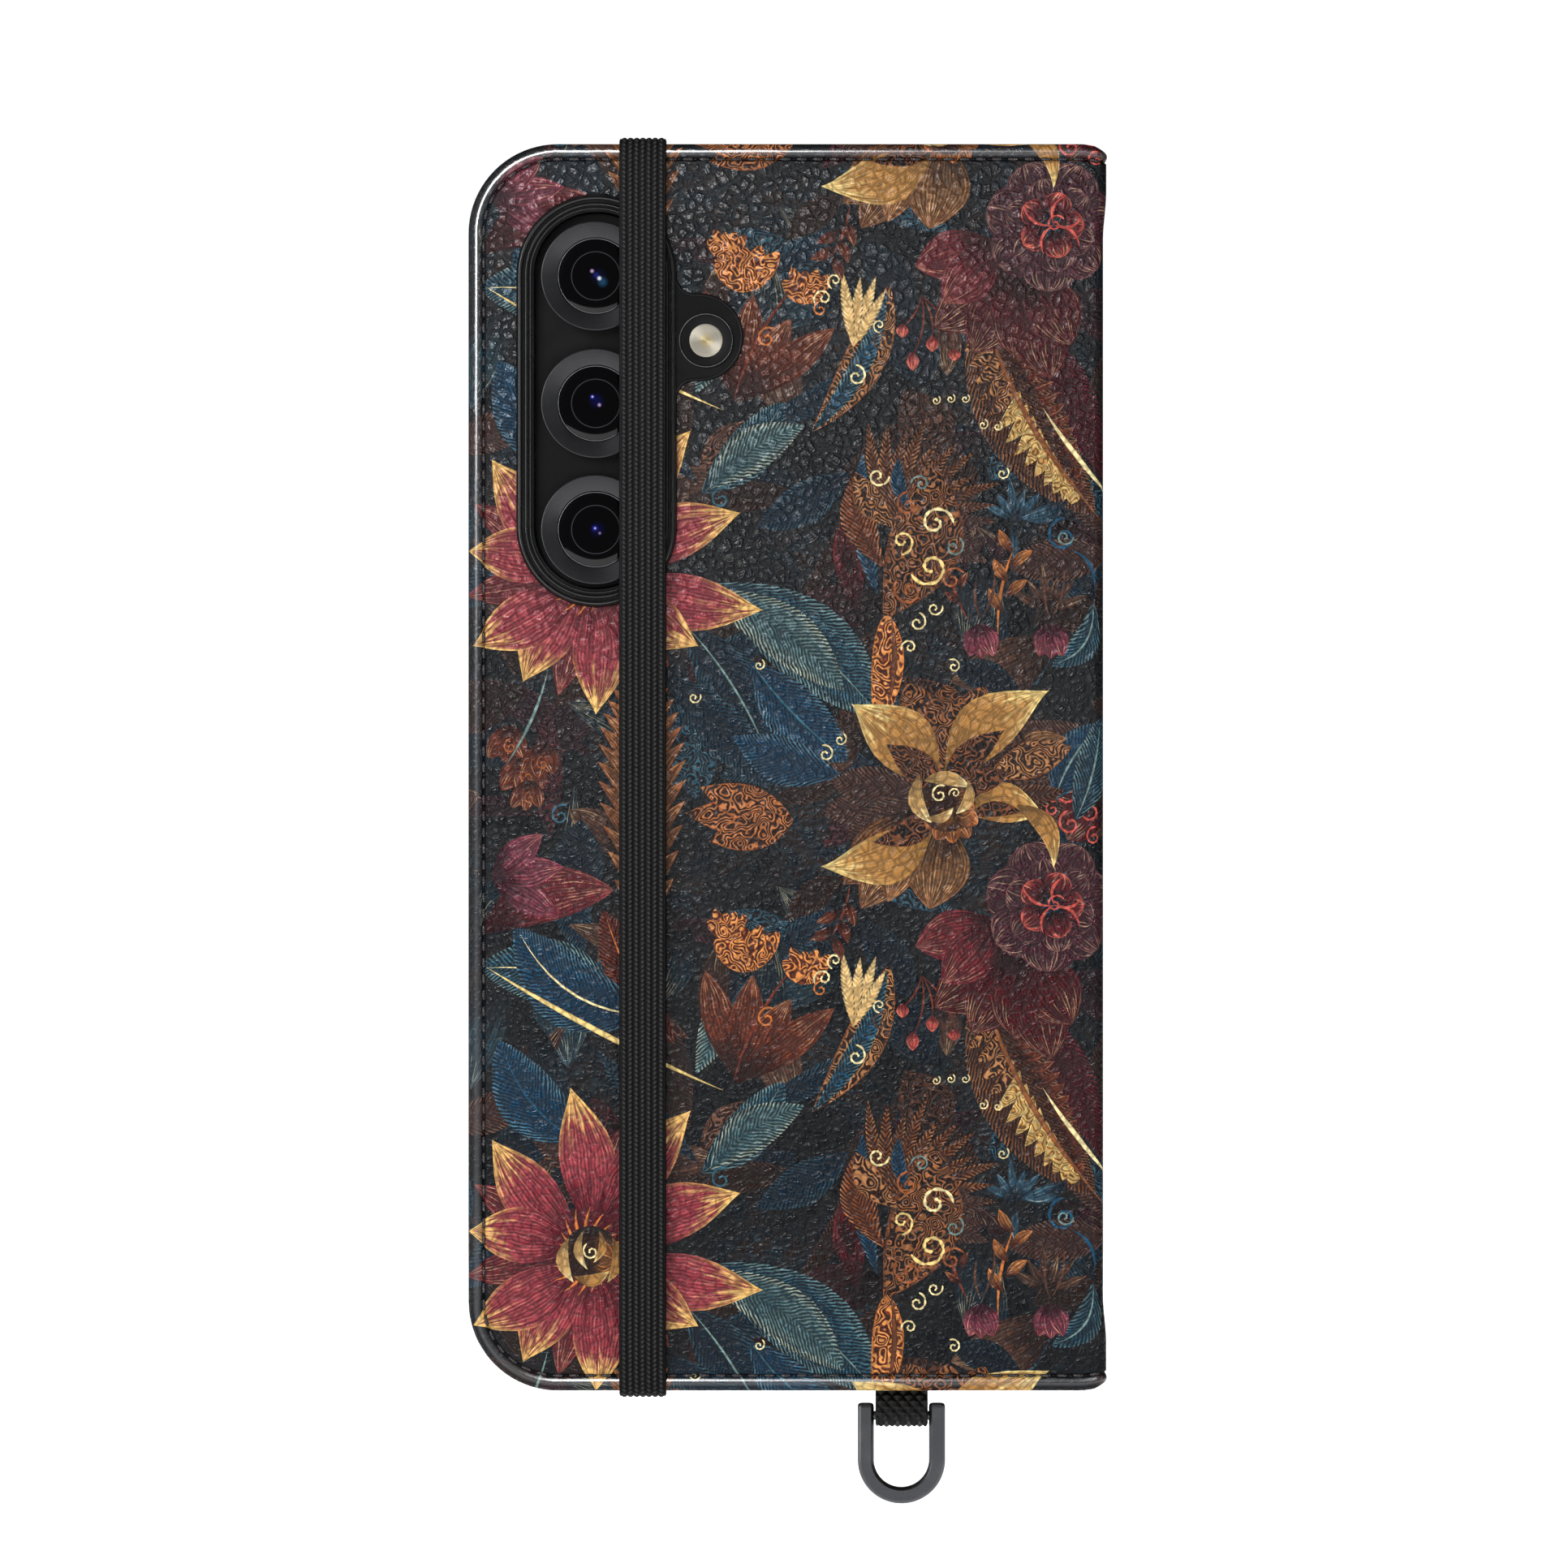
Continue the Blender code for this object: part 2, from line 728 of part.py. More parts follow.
def main():
    for thing in list(bpy.data.objects):
        bpy.data.objects.remove(thing)
    materials = make_materials()
    empties = make_pivots()
    make_back_cover(empties, materials)
    make_front_cover(empties, materials)
    make_card_pockets(empties, materials)
    make_spine(empties, materials)
    make_tray(empties, materials)
    make_keys(empties, materials)
    make_window_rim(empties, materials)
    make_camera(empties, materials)
    make_band(empties, materials)
    make_ring_and_webbing(empties, materials)


main()
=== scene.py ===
import json
import math

import bmesh
import bpy
import numpy as np
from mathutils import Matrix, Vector
from mathutils.geometry import delaunay_2d_cdt

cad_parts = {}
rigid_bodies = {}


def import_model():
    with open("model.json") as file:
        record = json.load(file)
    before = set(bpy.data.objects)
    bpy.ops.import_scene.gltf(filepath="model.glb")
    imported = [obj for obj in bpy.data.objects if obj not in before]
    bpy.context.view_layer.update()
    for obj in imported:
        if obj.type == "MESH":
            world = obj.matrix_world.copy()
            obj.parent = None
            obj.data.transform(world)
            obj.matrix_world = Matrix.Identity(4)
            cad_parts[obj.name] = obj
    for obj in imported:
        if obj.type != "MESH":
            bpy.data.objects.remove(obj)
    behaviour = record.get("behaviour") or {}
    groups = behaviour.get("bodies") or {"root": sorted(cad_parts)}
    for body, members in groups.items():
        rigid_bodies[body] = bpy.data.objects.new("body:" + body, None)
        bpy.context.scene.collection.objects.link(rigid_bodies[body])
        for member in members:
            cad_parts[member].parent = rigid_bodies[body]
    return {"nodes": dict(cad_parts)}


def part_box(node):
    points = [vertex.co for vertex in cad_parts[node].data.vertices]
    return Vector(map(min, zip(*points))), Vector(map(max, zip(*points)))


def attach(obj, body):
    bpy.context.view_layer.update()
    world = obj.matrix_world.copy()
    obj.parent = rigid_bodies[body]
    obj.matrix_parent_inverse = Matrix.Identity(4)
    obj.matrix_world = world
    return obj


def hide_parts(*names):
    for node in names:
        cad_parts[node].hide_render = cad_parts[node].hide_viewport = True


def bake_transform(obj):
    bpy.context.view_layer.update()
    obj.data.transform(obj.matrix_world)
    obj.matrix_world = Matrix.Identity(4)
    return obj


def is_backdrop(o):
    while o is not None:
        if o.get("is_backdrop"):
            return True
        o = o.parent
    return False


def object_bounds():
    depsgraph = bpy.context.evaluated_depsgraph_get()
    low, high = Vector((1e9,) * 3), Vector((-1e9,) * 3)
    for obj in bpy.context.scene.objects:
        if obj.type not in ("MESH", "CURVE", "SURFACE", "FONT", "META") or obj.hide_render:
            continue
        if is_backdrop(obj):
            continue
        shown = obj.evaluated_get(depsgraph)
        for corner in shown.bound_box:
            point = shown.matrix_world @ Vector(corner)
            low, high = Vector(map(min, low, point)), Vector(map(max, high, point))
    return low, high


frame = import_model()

# %% [markdown]
# A folding phone case. Two boards and a narrow spine are wrapped in one printed leather skin,
# a soft tray holds the phone, an elastic band keeps the book shut and a webbing tab carries a
# metal ring. The CAD frame gives every size. This first cell reads the sizes that later cells
# share. Lengths are in millimetres until a mesh is made, because that is how a maker measures.

# %% Sizes from the frame
MM = 0.001
cad_low, cad_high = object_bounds()


def box(node):
    """The node's lowest and highest corners as two arrays in millimetres."""
    low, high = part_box(node)
    return np.array(low) / MM, np.array(high) / MM


skin_low, skin_high = box("back_skin")
front_high = box("front_skin")[1]
spine_high = box("spine_skin")[1]
CASE_LEFT = float(skin_low[0])
CASE_RIGHT = float(spine_high[0])
HALF_HEIGHT = float(skin_high[2])
BACK_FACE = float(skin_low[1])
FRONT_FACE = float(front_high[1])
MIDDLE_Y = (BACK_FACE + FRONT_FACE) / 2
THICKNESS = 2.4
CORNER = 11.0
CREASE = 1.2
CREASE_X = CASE_RIGHT - CREASE
print("case", np.array(cad_low) / MM, np.array(cad_high) / MM)

# %% [markdown]
# Small helpers come before the first piece. A grid of points becomes a mesh with one array
# call, and a turned piece or a carried profile is such a grid. Doubled points at poles and
# seams are merged, and the normals are then turned outwards.

# %% Mesh helpers


def grid_faces(rows, columns, close_rows=False, close_columns=False):
    """Corner numbers of the quads of a grid whose point (row, column) is row * columns + column."""
    row = np.arange(rows if close_rows else rows - 1)[:, None]
    column = np.arange(columns if close_columns else columns - 1)[None, :]
    down, right = (row + 1) % rows, (column + 1) % columns
    here, below = row * columns, down * columns
    quads = [here + column, here + right, below + right, below + column]
    return np.stack(quads, -1).reshape(-1, 4)


def new_piece(name, points, faces, smooth=True):
    """Makes an object from an array of points in millimetres and an array of face corners."""
    mesh = bpy.data.meshes.new(name)
    mesh.from_pydata((np.asarray(points, float).reshape(-1, 3) * MM).tolist(), [], faces.tolist())
    mesh.polygons.foreach_set("use_smooth", np.full(len(mesh.polygons), smooth))
    piece = bpy.data.objects.new(name, mesh)
    bpy.context.scene.collection.objects.link(piece)
    return piece


def set_uv(piece, uv):
    """Writes one (u, v) pair for each vertex into the piece's UV map."""
    mesh = piece.data
    corner = np.empty(len(mesh.loops), np.int32)
    mesh.loops.foreach_get("vertex_index", corner)
    pairs = np.asarray(uv, float).reshape(-1, 2)[corner]
    mesh.uv_layers.new(name="UVMap").data.foreach_set("uv", pairs.ravel())


def mark_points(piece, title, values):
    """Writes one number for each vertex under this title, for a shader to read."""
    mark = piece.data.attributes.new(title, "FLOAT", "POINT")
    mark.data.foreach_set("value", np.asarray(values, np.float32).ravel())


def cap_ends(piece, count):
    """Covers the first and the last row of a grid, count points long, with one flat face each."""
    shape = bmesh.new()
    shape.from_mesh(piece.data)
    shape.verts.ensure_lookup_table()
    for first in (0, len(shape.verts) - count):
        shape.faces.new([shape.verts[first + k] for k in range(count)])
    shape.to_mesh(piece.data)
    shape.free()


def close_up(piece, sharp=40.0):
    """Merges doubled points, turns the normals outwards, and keeps edges over sharp degrees crisp."""
    shape = bmesh.new()
    shape.from_mesh(piece.data)
    bmesh.ops.remove_doubles(shape, verts=shape.verts, dist=2e-7)
    bmesh.ops.recalc_face_normals(shape, faces=shape.faces)
    for edge in shape.edges:
        edge.smooth = len(edge.link_faces) == 2 and edge.calc_face_angle(0.0) < math.radians(sharp)
    for face in shape.faces:
        face.smooth = True
    shape.to_mesh(piece.data)
    shape.free()
    return piece


def turned(name, profile, centre, steps=96, closed=True):
    """Carries a profile of (radius, level) round the line through centre = (x, z) along Y.
    A point at turn t goes to (x + r cos t, level, z + r sin t)."""
    radius, level = np.array(profile, float).T
    turn = np.linspace(0, 2 * np.pi, steps, endpoint=False)
    points = np.stack(
        [
            centre[0] + radius[:, None] * np.cos(turn),
            np.repeat(level[:, None], steps, 1),
            centre[1] + radius[:, None] * np.sin(turn),
        ],
        -1,
    )
    piece = new_piece(name, points, grid_faces(len(profile), steps, closed, True))
    around, along = np.meshgrid(turn / (2 * np.pi), np.linspace(0, 1, len(profile)))
    set_uv(piece, np.stack([around, along], -1))
    return close_up(piece, 30)


def smooth_copy(name, node, bevel=0.0, sharp=32.0):
    """A merged copy of a CAD node with soft edges, for a hard piece whose shape is right already."""
    piece = bpy.data.objects.new(name, frame["nodes"][node].data.copy())
    bpy.context.scene.collection.objects.link(piece)
    piece.data.materials.clear()
    close_up(piece, sharp)
    if bevel:
        edges = piece.modifiers.new("soft edges", "BEVEL")
        edges.width = bevel * MM
        edges.segments = 3
        edges.limit_method = "ANGLE"
        edges.angle_limit = math.radians(sharp)
        edges.harden_normals = False
    return piece


# %% [markdown]
# A material is a small graph of nodes. These helpers add a node, fill or link its inputs, and
# keep the graphs short to read. Colours are written as 0 to 255 and made linear here.

# %% Material helpers


def rgb(red, green, blue):
    """An sRGB colour from 0 to 255 as linear light with full alpha."""
    share = np.array([red, green, blue], float) / 255
    light = np.where(share <= 0.04045, share / 12.92, ((share + 0.055) / 1.055) ** 2.4)
    return (*light.tolist(), 1.0)


def fill(tree, made, values):
    """Sets a node's inputs to plain values, or links them to sockets."""
    for key, value in values.items():
        if isinstance(value, bpy.types.NodeSocket):
            tree.links.new(value, made.inputs[key])
        else:
            made.inputs[key].default_value = value
    return made


def node(tree, kind, values=None, **settings):
    """Adds a node, sets its properties, and fills or links its inputs."""
    made = tree.nodes.new(kind)
    for key, value in settings.items():
        setattr(made, key, value)
    return fill(tree, made, values or {})


def calc(tree, operation, *values):
    """One Math node; its values are numbers or sockets."""
    return node(tree, "ShaderNodeMath", dict(enumerate(values)), operation=operation).outputs[0]


def times(tree, first, second):
    """The product of two values."""
    return calc(tree, "MULTIPLY", first, second)


def plus(tree, first, second):
    """The sum of two values."""
    return calc(tree, "ADD", first, second)


def reach_of(tree, first, second):
    """The square root of the sum of two squares."""
    return calc(tree, "SQRT", plus(tree, times(tree, first, first), times(tree, second, second)))


def ease(tree, value, low, high, to_low=0.0, to_high=1.0):
    """Runs smoothly from to_low to to_high while value goes from low to high."""
    values = {"Value": value, "From Min": low, "From Max": high, "To Min": to_low, "To Max": to_high}
    return node(tree, "ShaderNodeMapRange", values, interpolation_type="SMOOTHSTEP").outputs["Result"]


def mix(tree, factor, first, second, mode="MIX"):
    """Mixes two colours."""
    values = {0: factor, 6: first, 7: second}
    return node(tree, "ShaderNodeMix", values, data_type="RGBA", blend_type=mode).outputs[2]


def noise(tree, place, scale, detail=2.0, roughness=0.5):
    """A noise value from 0 to 1."""
    values = {"Vector": place, "Scale": scale, "Detail": detail, "Roughness": roughness}
    return node(tree, "ShaderNodeTexNoise", values).outputs["Fac"]


def wave(tree, phase):
    """The sine of a phase counted in whole turns."""
    return calc(tree, "SINE", times(tree, phase, 2 * math.pi))


def group(name, inputs, outputs):
    """A shader group with named inputs {name: default} and outputs {name: kind}."""
    tree = bpy.data.node_groups.new(name, "ShaderNodeTree")
    for title, default in inputs.items():
        kind = "NodeSocketFloat"
        if isinstance(default, tuple):
            kind = "NodeSocketColor" if len(default) == 4 else "NodeSocketVector"
        socket = tree.interface.new_socket(name=title, in_out="INPUT", socket_type=kind)
        socket.default_value = default
    for title, kind in outputs.items():
        tree.interface.new_socket(name=title, in_out="OUTPUT", socket_type=kind)
    return tree, tree.nodes.new("NodeGroupInput").outputs, tree.nodes.new("NodeGroupOutput").inputs


def use(tree, shared, **values):
    """Places a shared group in a material with its own values, and returns its outputs."""
    made = tree.nodes.new("ShaderNodeGroup")
    made.node_tree = shared
    return fill(tree, made, {key.replace("_", " "): value for key, value in values.items()}).outputs


def new_material(name, **sockets):
    """A material with one Principled shader, whose plain sockets are set straight away."""
    material = bpy.data.materials.new(name)
    material.use_nodes = True
    tree = material.node_tree
    shader = next(n for n in tree.nodes if n.type == "BSDF_PRINCIPLED")
    for key, value in sockets.items():
        shader.inputs[key.replace("_", " ")].default_value = value
    return material, tree, shader


def feed(shader, title, value):
    """Links a value into one of the shader's inputs."""
    shader.id_data.links.new(value, shader.inputs[title])


def object_place(tree):
    """Where a point lies on the object, in metres."""
    return node(tree, "ShaderNodeTexCoord").outputs["Object"]


def long_place(tree, place, share):
    """The place squeezed along Z to that share, so that noise on it comes out long."""
    return node(tree, "ShaderNodeMapping", {"Vector": place, "Scale": (1.0, 1.0, share)}).outputs[0]


def uv_place(tree):
    """The two numbers of the UV map."""
    place = node(tree, "ShaderNodeUVMap", uv_map="UVMap").outputs["UV"]
    return node(tree, "ShaderNodeSeparateXYZ", {0: place}).outputs[:2]


def point_value(tree, title):
    """The number that mark_points wrote under this title."""
    return node(tree, "ShaderNodeAttribute", attribute_name=title).outputs["Fac"]


def turned_lines(tree, shader, along, count, detail=2.0):
    """Hair-fine lines round a turned piece, as noise along its profile only. The shader's
    stretched highlight is turned to run round the piece too."""
    values = {"W": times(tree, along, count), "Scale": 1.0, "Detail": detail}
    tangent = node(tree, "ShaderNodeTangent", direction_type="UV_MAP", uv_map="UVMap").outputs[0]
    feed(shader, "Tangent", tangent)
    return node(tree, "ShaderNodeTexNoise", values, noise_dimensions="1D").outputs["Fac"]


def bump(tree, shader, height, depth):
    """Feeds a height from 0 to 1 into the shader as a bump of that depth in millimetres."""
    made = node(tree, "ShaderNodeBump", {"Height": height, "Strength": 1.0, "Distance": depth * MM})
    feed(shader, "Normal", made.outputs["Normal"])


# %% [markdown]
# Effects that more than one finish uses are groups, built once: pebbled grain for leather,
# fine tooth for moulded plastic and metal, and dust with wear that lightens a dark surface.

# %% Shared surface effects


def make_grain():
    """Leather grain: cells about a millimetre wide with sunk borders, pulled out of shape by
    noise, with finer cells and pores on top."""
    tree, given, put = group(
        "leather grain",
        {"Cells": 820.0, "Warp": 0.0009},
        {"Height": "NodeSocketFloat", "Valley": "NodeSocketFloat"},
    )

    def moved(operation, values):
        return node(tree, "ShaderNodeVectorMath", values, operation=operation).outputs[0]

    place = object_place(tree)
    slow = {"Vector": place, "Scale": 420.0, "Detail": 2.0}
    drift = node(tree, "ShaderNodeTexNoise", slow).outputs["Color"]
    centred = moved("SUBTRACT", {0: drift, 1: (0.5, 0.5, 0.5)})
    pull = moved("SCALE", {0: centred, "Scale": given["Warp"]})
    pulled = moved("ADD", {0: place, 1: pull})
    cells = {"Vector": pulled, "Scale": given["Cells"], "Randomness": 1.0}
    border = node(tree, "ShaderNodeTexVoronoi", cells, feature="DISTANCE_TO_EDGE").outputs["Distance"]
    pebble = ease(tree, border, 0.0, 0.22)
    cells["Scale"] = times(tree, given["Cells"], 2.3)
    small = node(tree, "ShaderNodeTexVoronoi", cells, feature="DISTANCE_TO_EDGE").outputs["Distance"]
    crease = ease(tree, small, 0.0, 0.16)
    pores = noise(tree, place, 5200.0, 2.0)
    height = plus(tree, times(tree, pebble, 0.66), times(tree, crease, 0.2))
    height = plus(tree, height, times(tree, pores, 0.14))
    tree.links.new(height, put["Height"])
    tree.links.new(calc(tree, "SUBTRACT", 1.0, pebble), put["Valley"])
    return tree


def make_tooth():
    """Fine tooth: two sizes of noise, for moulded plastic, rubber and blasted metal."""
    tree, given, put = group("fine tooth", {"Scale": 3000.0}, {"Height": "NodeSocketFloat"})
    place = object_place(tree)
    fine = noise(tree, place, given["Scale"], 3.0)
    coarse = noise(tree, place, times(tree, given["Scale"], 0.23), 2.0)
    mixed = plus(tree, times(tree, fine, 0.7), times(tree, coarse, 0.3))
    tree.links.new(mixed, put["Height"])
    return tree


def make_wear():
    """Handling wear: slow patches and thin scuffs, as a mask from 0 to 1."""
    tree, given, put = group("handling wear", {"Scale": 60.0}, {"Mask": "NodeSocketFloat"})
    place = object_place(tree)
    patches = ease(tree, noise(tree, place, given["Scale"], 4.0, 0.6), 0.42, 0.72)
    scuffs = ease(tree, noise(tree, long_place(tree, place, 0.16), 2600.0, 2.0), 0.62, 0.78)
    tree.links.new(plus(tree, patches, times(tree, scuffs, 0.35)), put["Mask"])
    return tree


grain = make_grain()
tooth = make_tooth()
wear = make_wear()
print("shared groups", [g.name for g in bpy.data.node_groups])

# %% [markdown]
# The camera, the floor and the light. The case is shown square on from its back, through a long
# lens, and the floor is pale and just clears the ring. A large soft light stands high on the
# left, a weak one on the right and one overhead, and none of these three is mirrored in the
# case. Highlights come from lights of their own: narrow strips on both sides, one level with
# the left edge, and a small haze lamp near the camera. So sheen and brightness are set apart.

# %% Camera, floor and light
scene = bpy.context.scene
LENS, SENSOR, FRAME_WIDTH = 200.0, 36.0, 193.2
camera_data = bpy.data.cameras.new("camera")
camera_data.lens = LENS
camera_data.sensor_width = SENSOR
camera = bpy.data.objects.new("camera", camera_data)
distance = FRAME_WIDTH * LENS / SENSOR
camera.location = (0.1 * MM, (BACK_FACE - distance) * MM, -2.05 * MM)
camera.rotation_euler = (math.radians(90), 0, 0)
camera_data.clip_start = 0.05
camera_data.clip_end = 20.0
scene.collection.objects.link(camera)
scene.camera = camera
scene.view_settings.view_transform = "Standard"

FLOOR_LEVEL = float(cad_low[2]) / MM - 1.2


def make_floor():
    """A flat disc; a ring of points at each radius, 600 mm out at the edge."""
    turn = np.linspace(0, 2 * np.pi, 64, endpoint=False)
    radius = np.array([0.0, 150.0, 300.0, 600.0])[:, None]
    points = np.stack([radius * np.cos(turn), radius * np.sin(turn), np.full((4, 64), FLOOR_LEVEL)], -1)
    floor = close_up(new_piece("floor", points, grid_faces(4, 64, False, True)))
    material, tree, shader = new_material("pale floor", Roughness=0.8, Specular_IOR_Level=0.2)
    tint = noise(tree, object_place(tree), 40.0, 3.0)
    feed(shader, "Base Color", mix(tree, tint, rgb(240, 240, 240), rgb(250, 250, 250)))
    shader.inputs["Emission Color"].default_value = (1, 1, 1, 1)
    shader.inputs["Emission Strength"].default_value = 0.92
    floor.data.materials.append(material)
    floor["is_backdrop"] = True


def soft_light(name, place, aim, size, power, tall=None, tint=(1, 1, 1), soft=True, gloss=True):
    """An area light of that size in metres, turned towards aim. With soft off it makes only
    highlights, and with gloss off it makes none."""
    data = bpy.data.lights.new(name, "AREA")
    data.shape = "RECTANGLE"
    data.size = size
    data.size_y = tall or size
    data.energy = power
    data.color = tint
    light = bpy.data.objects.new(name, data)
    light.visible_diffuse = soft
    light.visible_glossy = gloss
    light.visible_camera = False
    light.location = place
    light.rotation_euler = (Vector(aim) - Vector(place)).to_track_quat("-Z", "Y").to_euler()
    scene.collection.objects.link(light)
    return light


def make_world():
    """White behind the object, and a dimmer even light on it."""
    world = bpy.data.worlds.new("studio")
    scene.world = world
    world.use_nodes = True
    tree = world.node_tree
    background = next(n for n in tree.nodes if n.type == "BACKGROUND")
    background.inputs["Color"].default_value = (1, 1, 1, 1)
    seen = node(tree, "ShaderNodeLightPath").outputs["Is Camera Ray"]
    strength = plus(tree, times(tree, seen, 0.9), 0.12)
    tree.links.new(strength, background.inputs["Strength"])


make_floor()
make_world()
CENTRE = (0.0, 0.0, 0.0)
KEY_PLACE = (-0.5, -0.58, 0.4)
COOL = (0.9, 0.95, 1.0)
soft_light("key", KEY_PLACE, CENTRE, 0.5, 7.6, gloss=False)
key_shine = soft_light("key shine", KEY_PLACE, CENTRE, 0.5, 7.6, soft=False)
soft_light("fill", (0.6, -0.55, 0.05), CENTRE, 0.4, 1.0, gloss=False)
soft_light("overhead", (0.0, 0.05, 0.7), CENTRE, 0.5, 2.0, gloss=False)
soft_light("edge", (-0.7, -0.03, 0.03), CENTRE, 0.3, 4.5, 0.7, soft=False)
soft_light("left strip", (-0.6, -0.42, 0.05), CENTRE, 0.12, 3.0, 1.0, COOL, soft=False)
soft_light("right strip", (0.6, -0.36, 0.05), CENTRE, 0.1, 1.2, 1.0, soft=False)
haze = soft_light("haze", (-0.055, -0.36, 0.115), (-0.03, 0.0, 0.05), 0.1, 2.4, soft=False)
print("camera", tuple(camera.location), "floor", FLOOR_LEVEL)

# %% [markdown]
# The skin is one rounded rectangle of leather. It runs from the free edge of the back cover
# over the back, round a tight crease, over the spine, round a second crease and over the
# front. So it is worked out flat, in (s, z), and then laid on the case. Near its border the
# skin dips into a stitched groove, swells over a padded edge, goes down the side of the board
# and is turned in. That profile is measured along its own length, so the print isn't stretched.

# %% The way the flat skin lies on the case
ARC = CREASE * math.pi / 2
FIRST_CREASE = CREASE_X
SPINE_START = FIRST_CREASE + ARC
SPINE_END = SPINE_START + (FRONT_FACE - BACK_FACE - 2 * CREASE)
SECOND_CREASE = SPINE_END + ARC
SKIN_MIDDLE = (FIRST_CREASE + SECOND_CREASE) / 2
SKIN_HALF = SKIN_MIDDLE - CASE_LEFT
STITCH_INSET, GROOVE_HALF, GROOVE_DEPTH = 1.9, 0.3, 0.34
ROLL, SWELL, TURN_IN = 0.95, 0.14, 0.45
PINCH, PINCH_START, PINCH_END = 0.4, 65.0, 71.0


def smooth_run(value, low, high):
    """0 below low, 1 above high, and the smooth cubic between."""
    share = np.clip((value - low) / (high - low), 0, 1)
    return share * share * (3 - 2 * share)


def edge_profile():
    """(distance along the profile, inset, depth) from the flat panel to the turned-in edge."""
    lip = STITCH_INSET - GROOVE_HALF
    groove = np.linspace(STITCH_INSET + GROOVE_HALF, lip, 9)
    dip = GROOVE_DEPTH * (0.5 + 0.5 * np.cos(np.pi * (groove - STITCH_INSET) / GROOVE_HALF))
    swell = np.linspace(lip, ROLL, 5)[1:]
    rise = -SWELL * np.sin(np.pi / 2 * (lip - swell) / (lip - ROLL))
    roll = np.linspace(0, np.pi / 2, 8)[1:]
    turn = np.linspace(0, np.pi / 2, 5)
    over, under = ROLL * (1 - np.sin(roll)), TURN_IN * (1 - np.cos(turn))
    inset = np.concatenate([groove, swell, over, [0, 0], under, [1.0]])
    over, under = -SWELL + ROLL * (1 - np.cos(roll)), 1.95 + TURN_IN * np.sin(turn)
    depth = np.concatenate([dip, rise, over, [1.2, 1.6], under, [2.42]])
    along = np.concatenate([[0], np.cumsum(np.hypot(np.diff(inset), np.diff(depth)))])
    return along - inset[0], inset, depth


PROFILE = edge_profile()
OVERHANG = float(PROFILE[0][-1])


def to_border(s, z):
    """Signed distance to the skin's rounded border, negative inside, and the outward direction."""
    from_middle = s - SKIN_MIDDLE
    over_s = np.abs(from_middle) - (SKIN_HALF - CORNER)
    over_z = np.abs(z) - (HALF_HEIGHT - CORNER)
    out_s, out_z = np.maximum(over_s, 0), np.maximum(over_z, 0)
    reach = np.hypot(out_s, out_z)
    away = reach + np.minimum(np.maximum(over_s, over_z), 0) - CORNER
    corner = reach > 1e-9
    plain = over_s > over_z
    safe = np.where(corner, reach, 1)
    toward_s = np.where(corner, out_s / safe, plain) * np.sign(from_middle)
    toward_z = np.where(corner, out_z / safe, ~plain) * np.sign(z)
    return away, toward_s, toward_z


def lay(s, z, depth):
    """Puts flat skin points on the case, depth below its outer face: straight over the panels
    and the spine, and on quarter circles round the creases. The spine is drawn in a little at
    mid height, and its ends are eased."""
    near = np.minimum(
        np.clip(np.maximum(FIRST_CREASE - s, s - SPINE_START), 0, 9),
        np.clip(np.maximum(SPINE_END - s, s - SECOND_CREASE), 0, 9),
    )
    depth = np.minimum(depth, 1.1 + 0.7 * near)
    first = np.clip((s - FIRST_CREASE) / CREASE, 0, np.pi / 2)
    second = np.clip((s - SPINE_END) / CREASE, 0, np.pi / 2)
    turn = first + second
    radius = CREASE - depth
    x = np.minimum(s, FIRST_CREASE) - np.maximum(s - SECOND_CREASE, 0) + radius * np.sin(turn)
    y = BACK_FACE + CREASE + np.clip(s - SPINE_START, 0, SPINE_END - SPINE_START) - radius * np.cos(turn)
    reach = smooth_run(x, 35.5, CASE_RIGHT)
    end = np.clip(np.abs(z) - (HALF_HEIGHT - 1.5), 0, 1.45)
    ends = (1.5 - np.sqrt(1.5**2 - end**2)) * np.clip((x - 38.0) / 1.85, 0, 1)
    x = x - PINCH * reach * (1 - smooth_run(np.abs(z), PINCH_START, PINCH_END)) - ends
    taper = 0.4 * smooth_run(x, 36.6, CASE_RIGHT) * smooth_run(np.abs(z), 70, HALF_HEIGHT)
    return np.stack([x, y, z - np.sign(z) * taper], -1)


def lay_skin(s, z, extra=0.0):
    """lay() with the border's own profile: the foot on the border, the inset and the depth."""
    away, toward_s, toward_z = to_border(s, z)
    edge = away > PROFILE[0][0]
    along = np.clip(away, PROFILE[0][0], OVERHANG)
    inset = np.interp(along, PROFILE[0], PROFILE[1])
    depth = np.where(edge, np.interp(along, PROFILE[0], PROFILE[2]), 0.0)
    move = np.where(edge, -away - inset, 0.0)
    return lay(s + move * toward_s, z + move * toward_z, depth + extra)


print("skin", round(2 * SKIN_HALF, 2), "x", round(2 * HALF_HEIGHT, 2), "mm")
print("turned over by", round(OVERHANG, 2), "mm")

# %% [markdown]
# The print is a botanical pattern of its own: star blooms, a golden lily, a dark rose, feathers
# and scrolled leaves on a night-blue ground. Every figure is a blade, a leaf shape set by its
# length, width, bend and fullness, or a disc. The outlines are cut into the skin's own
# mesh, so that each edge is crisp, and each face carries the blade's own coordinates. The
# shader then draws hatching, barbs or scrolls inside it. Painting by hand would need an image.

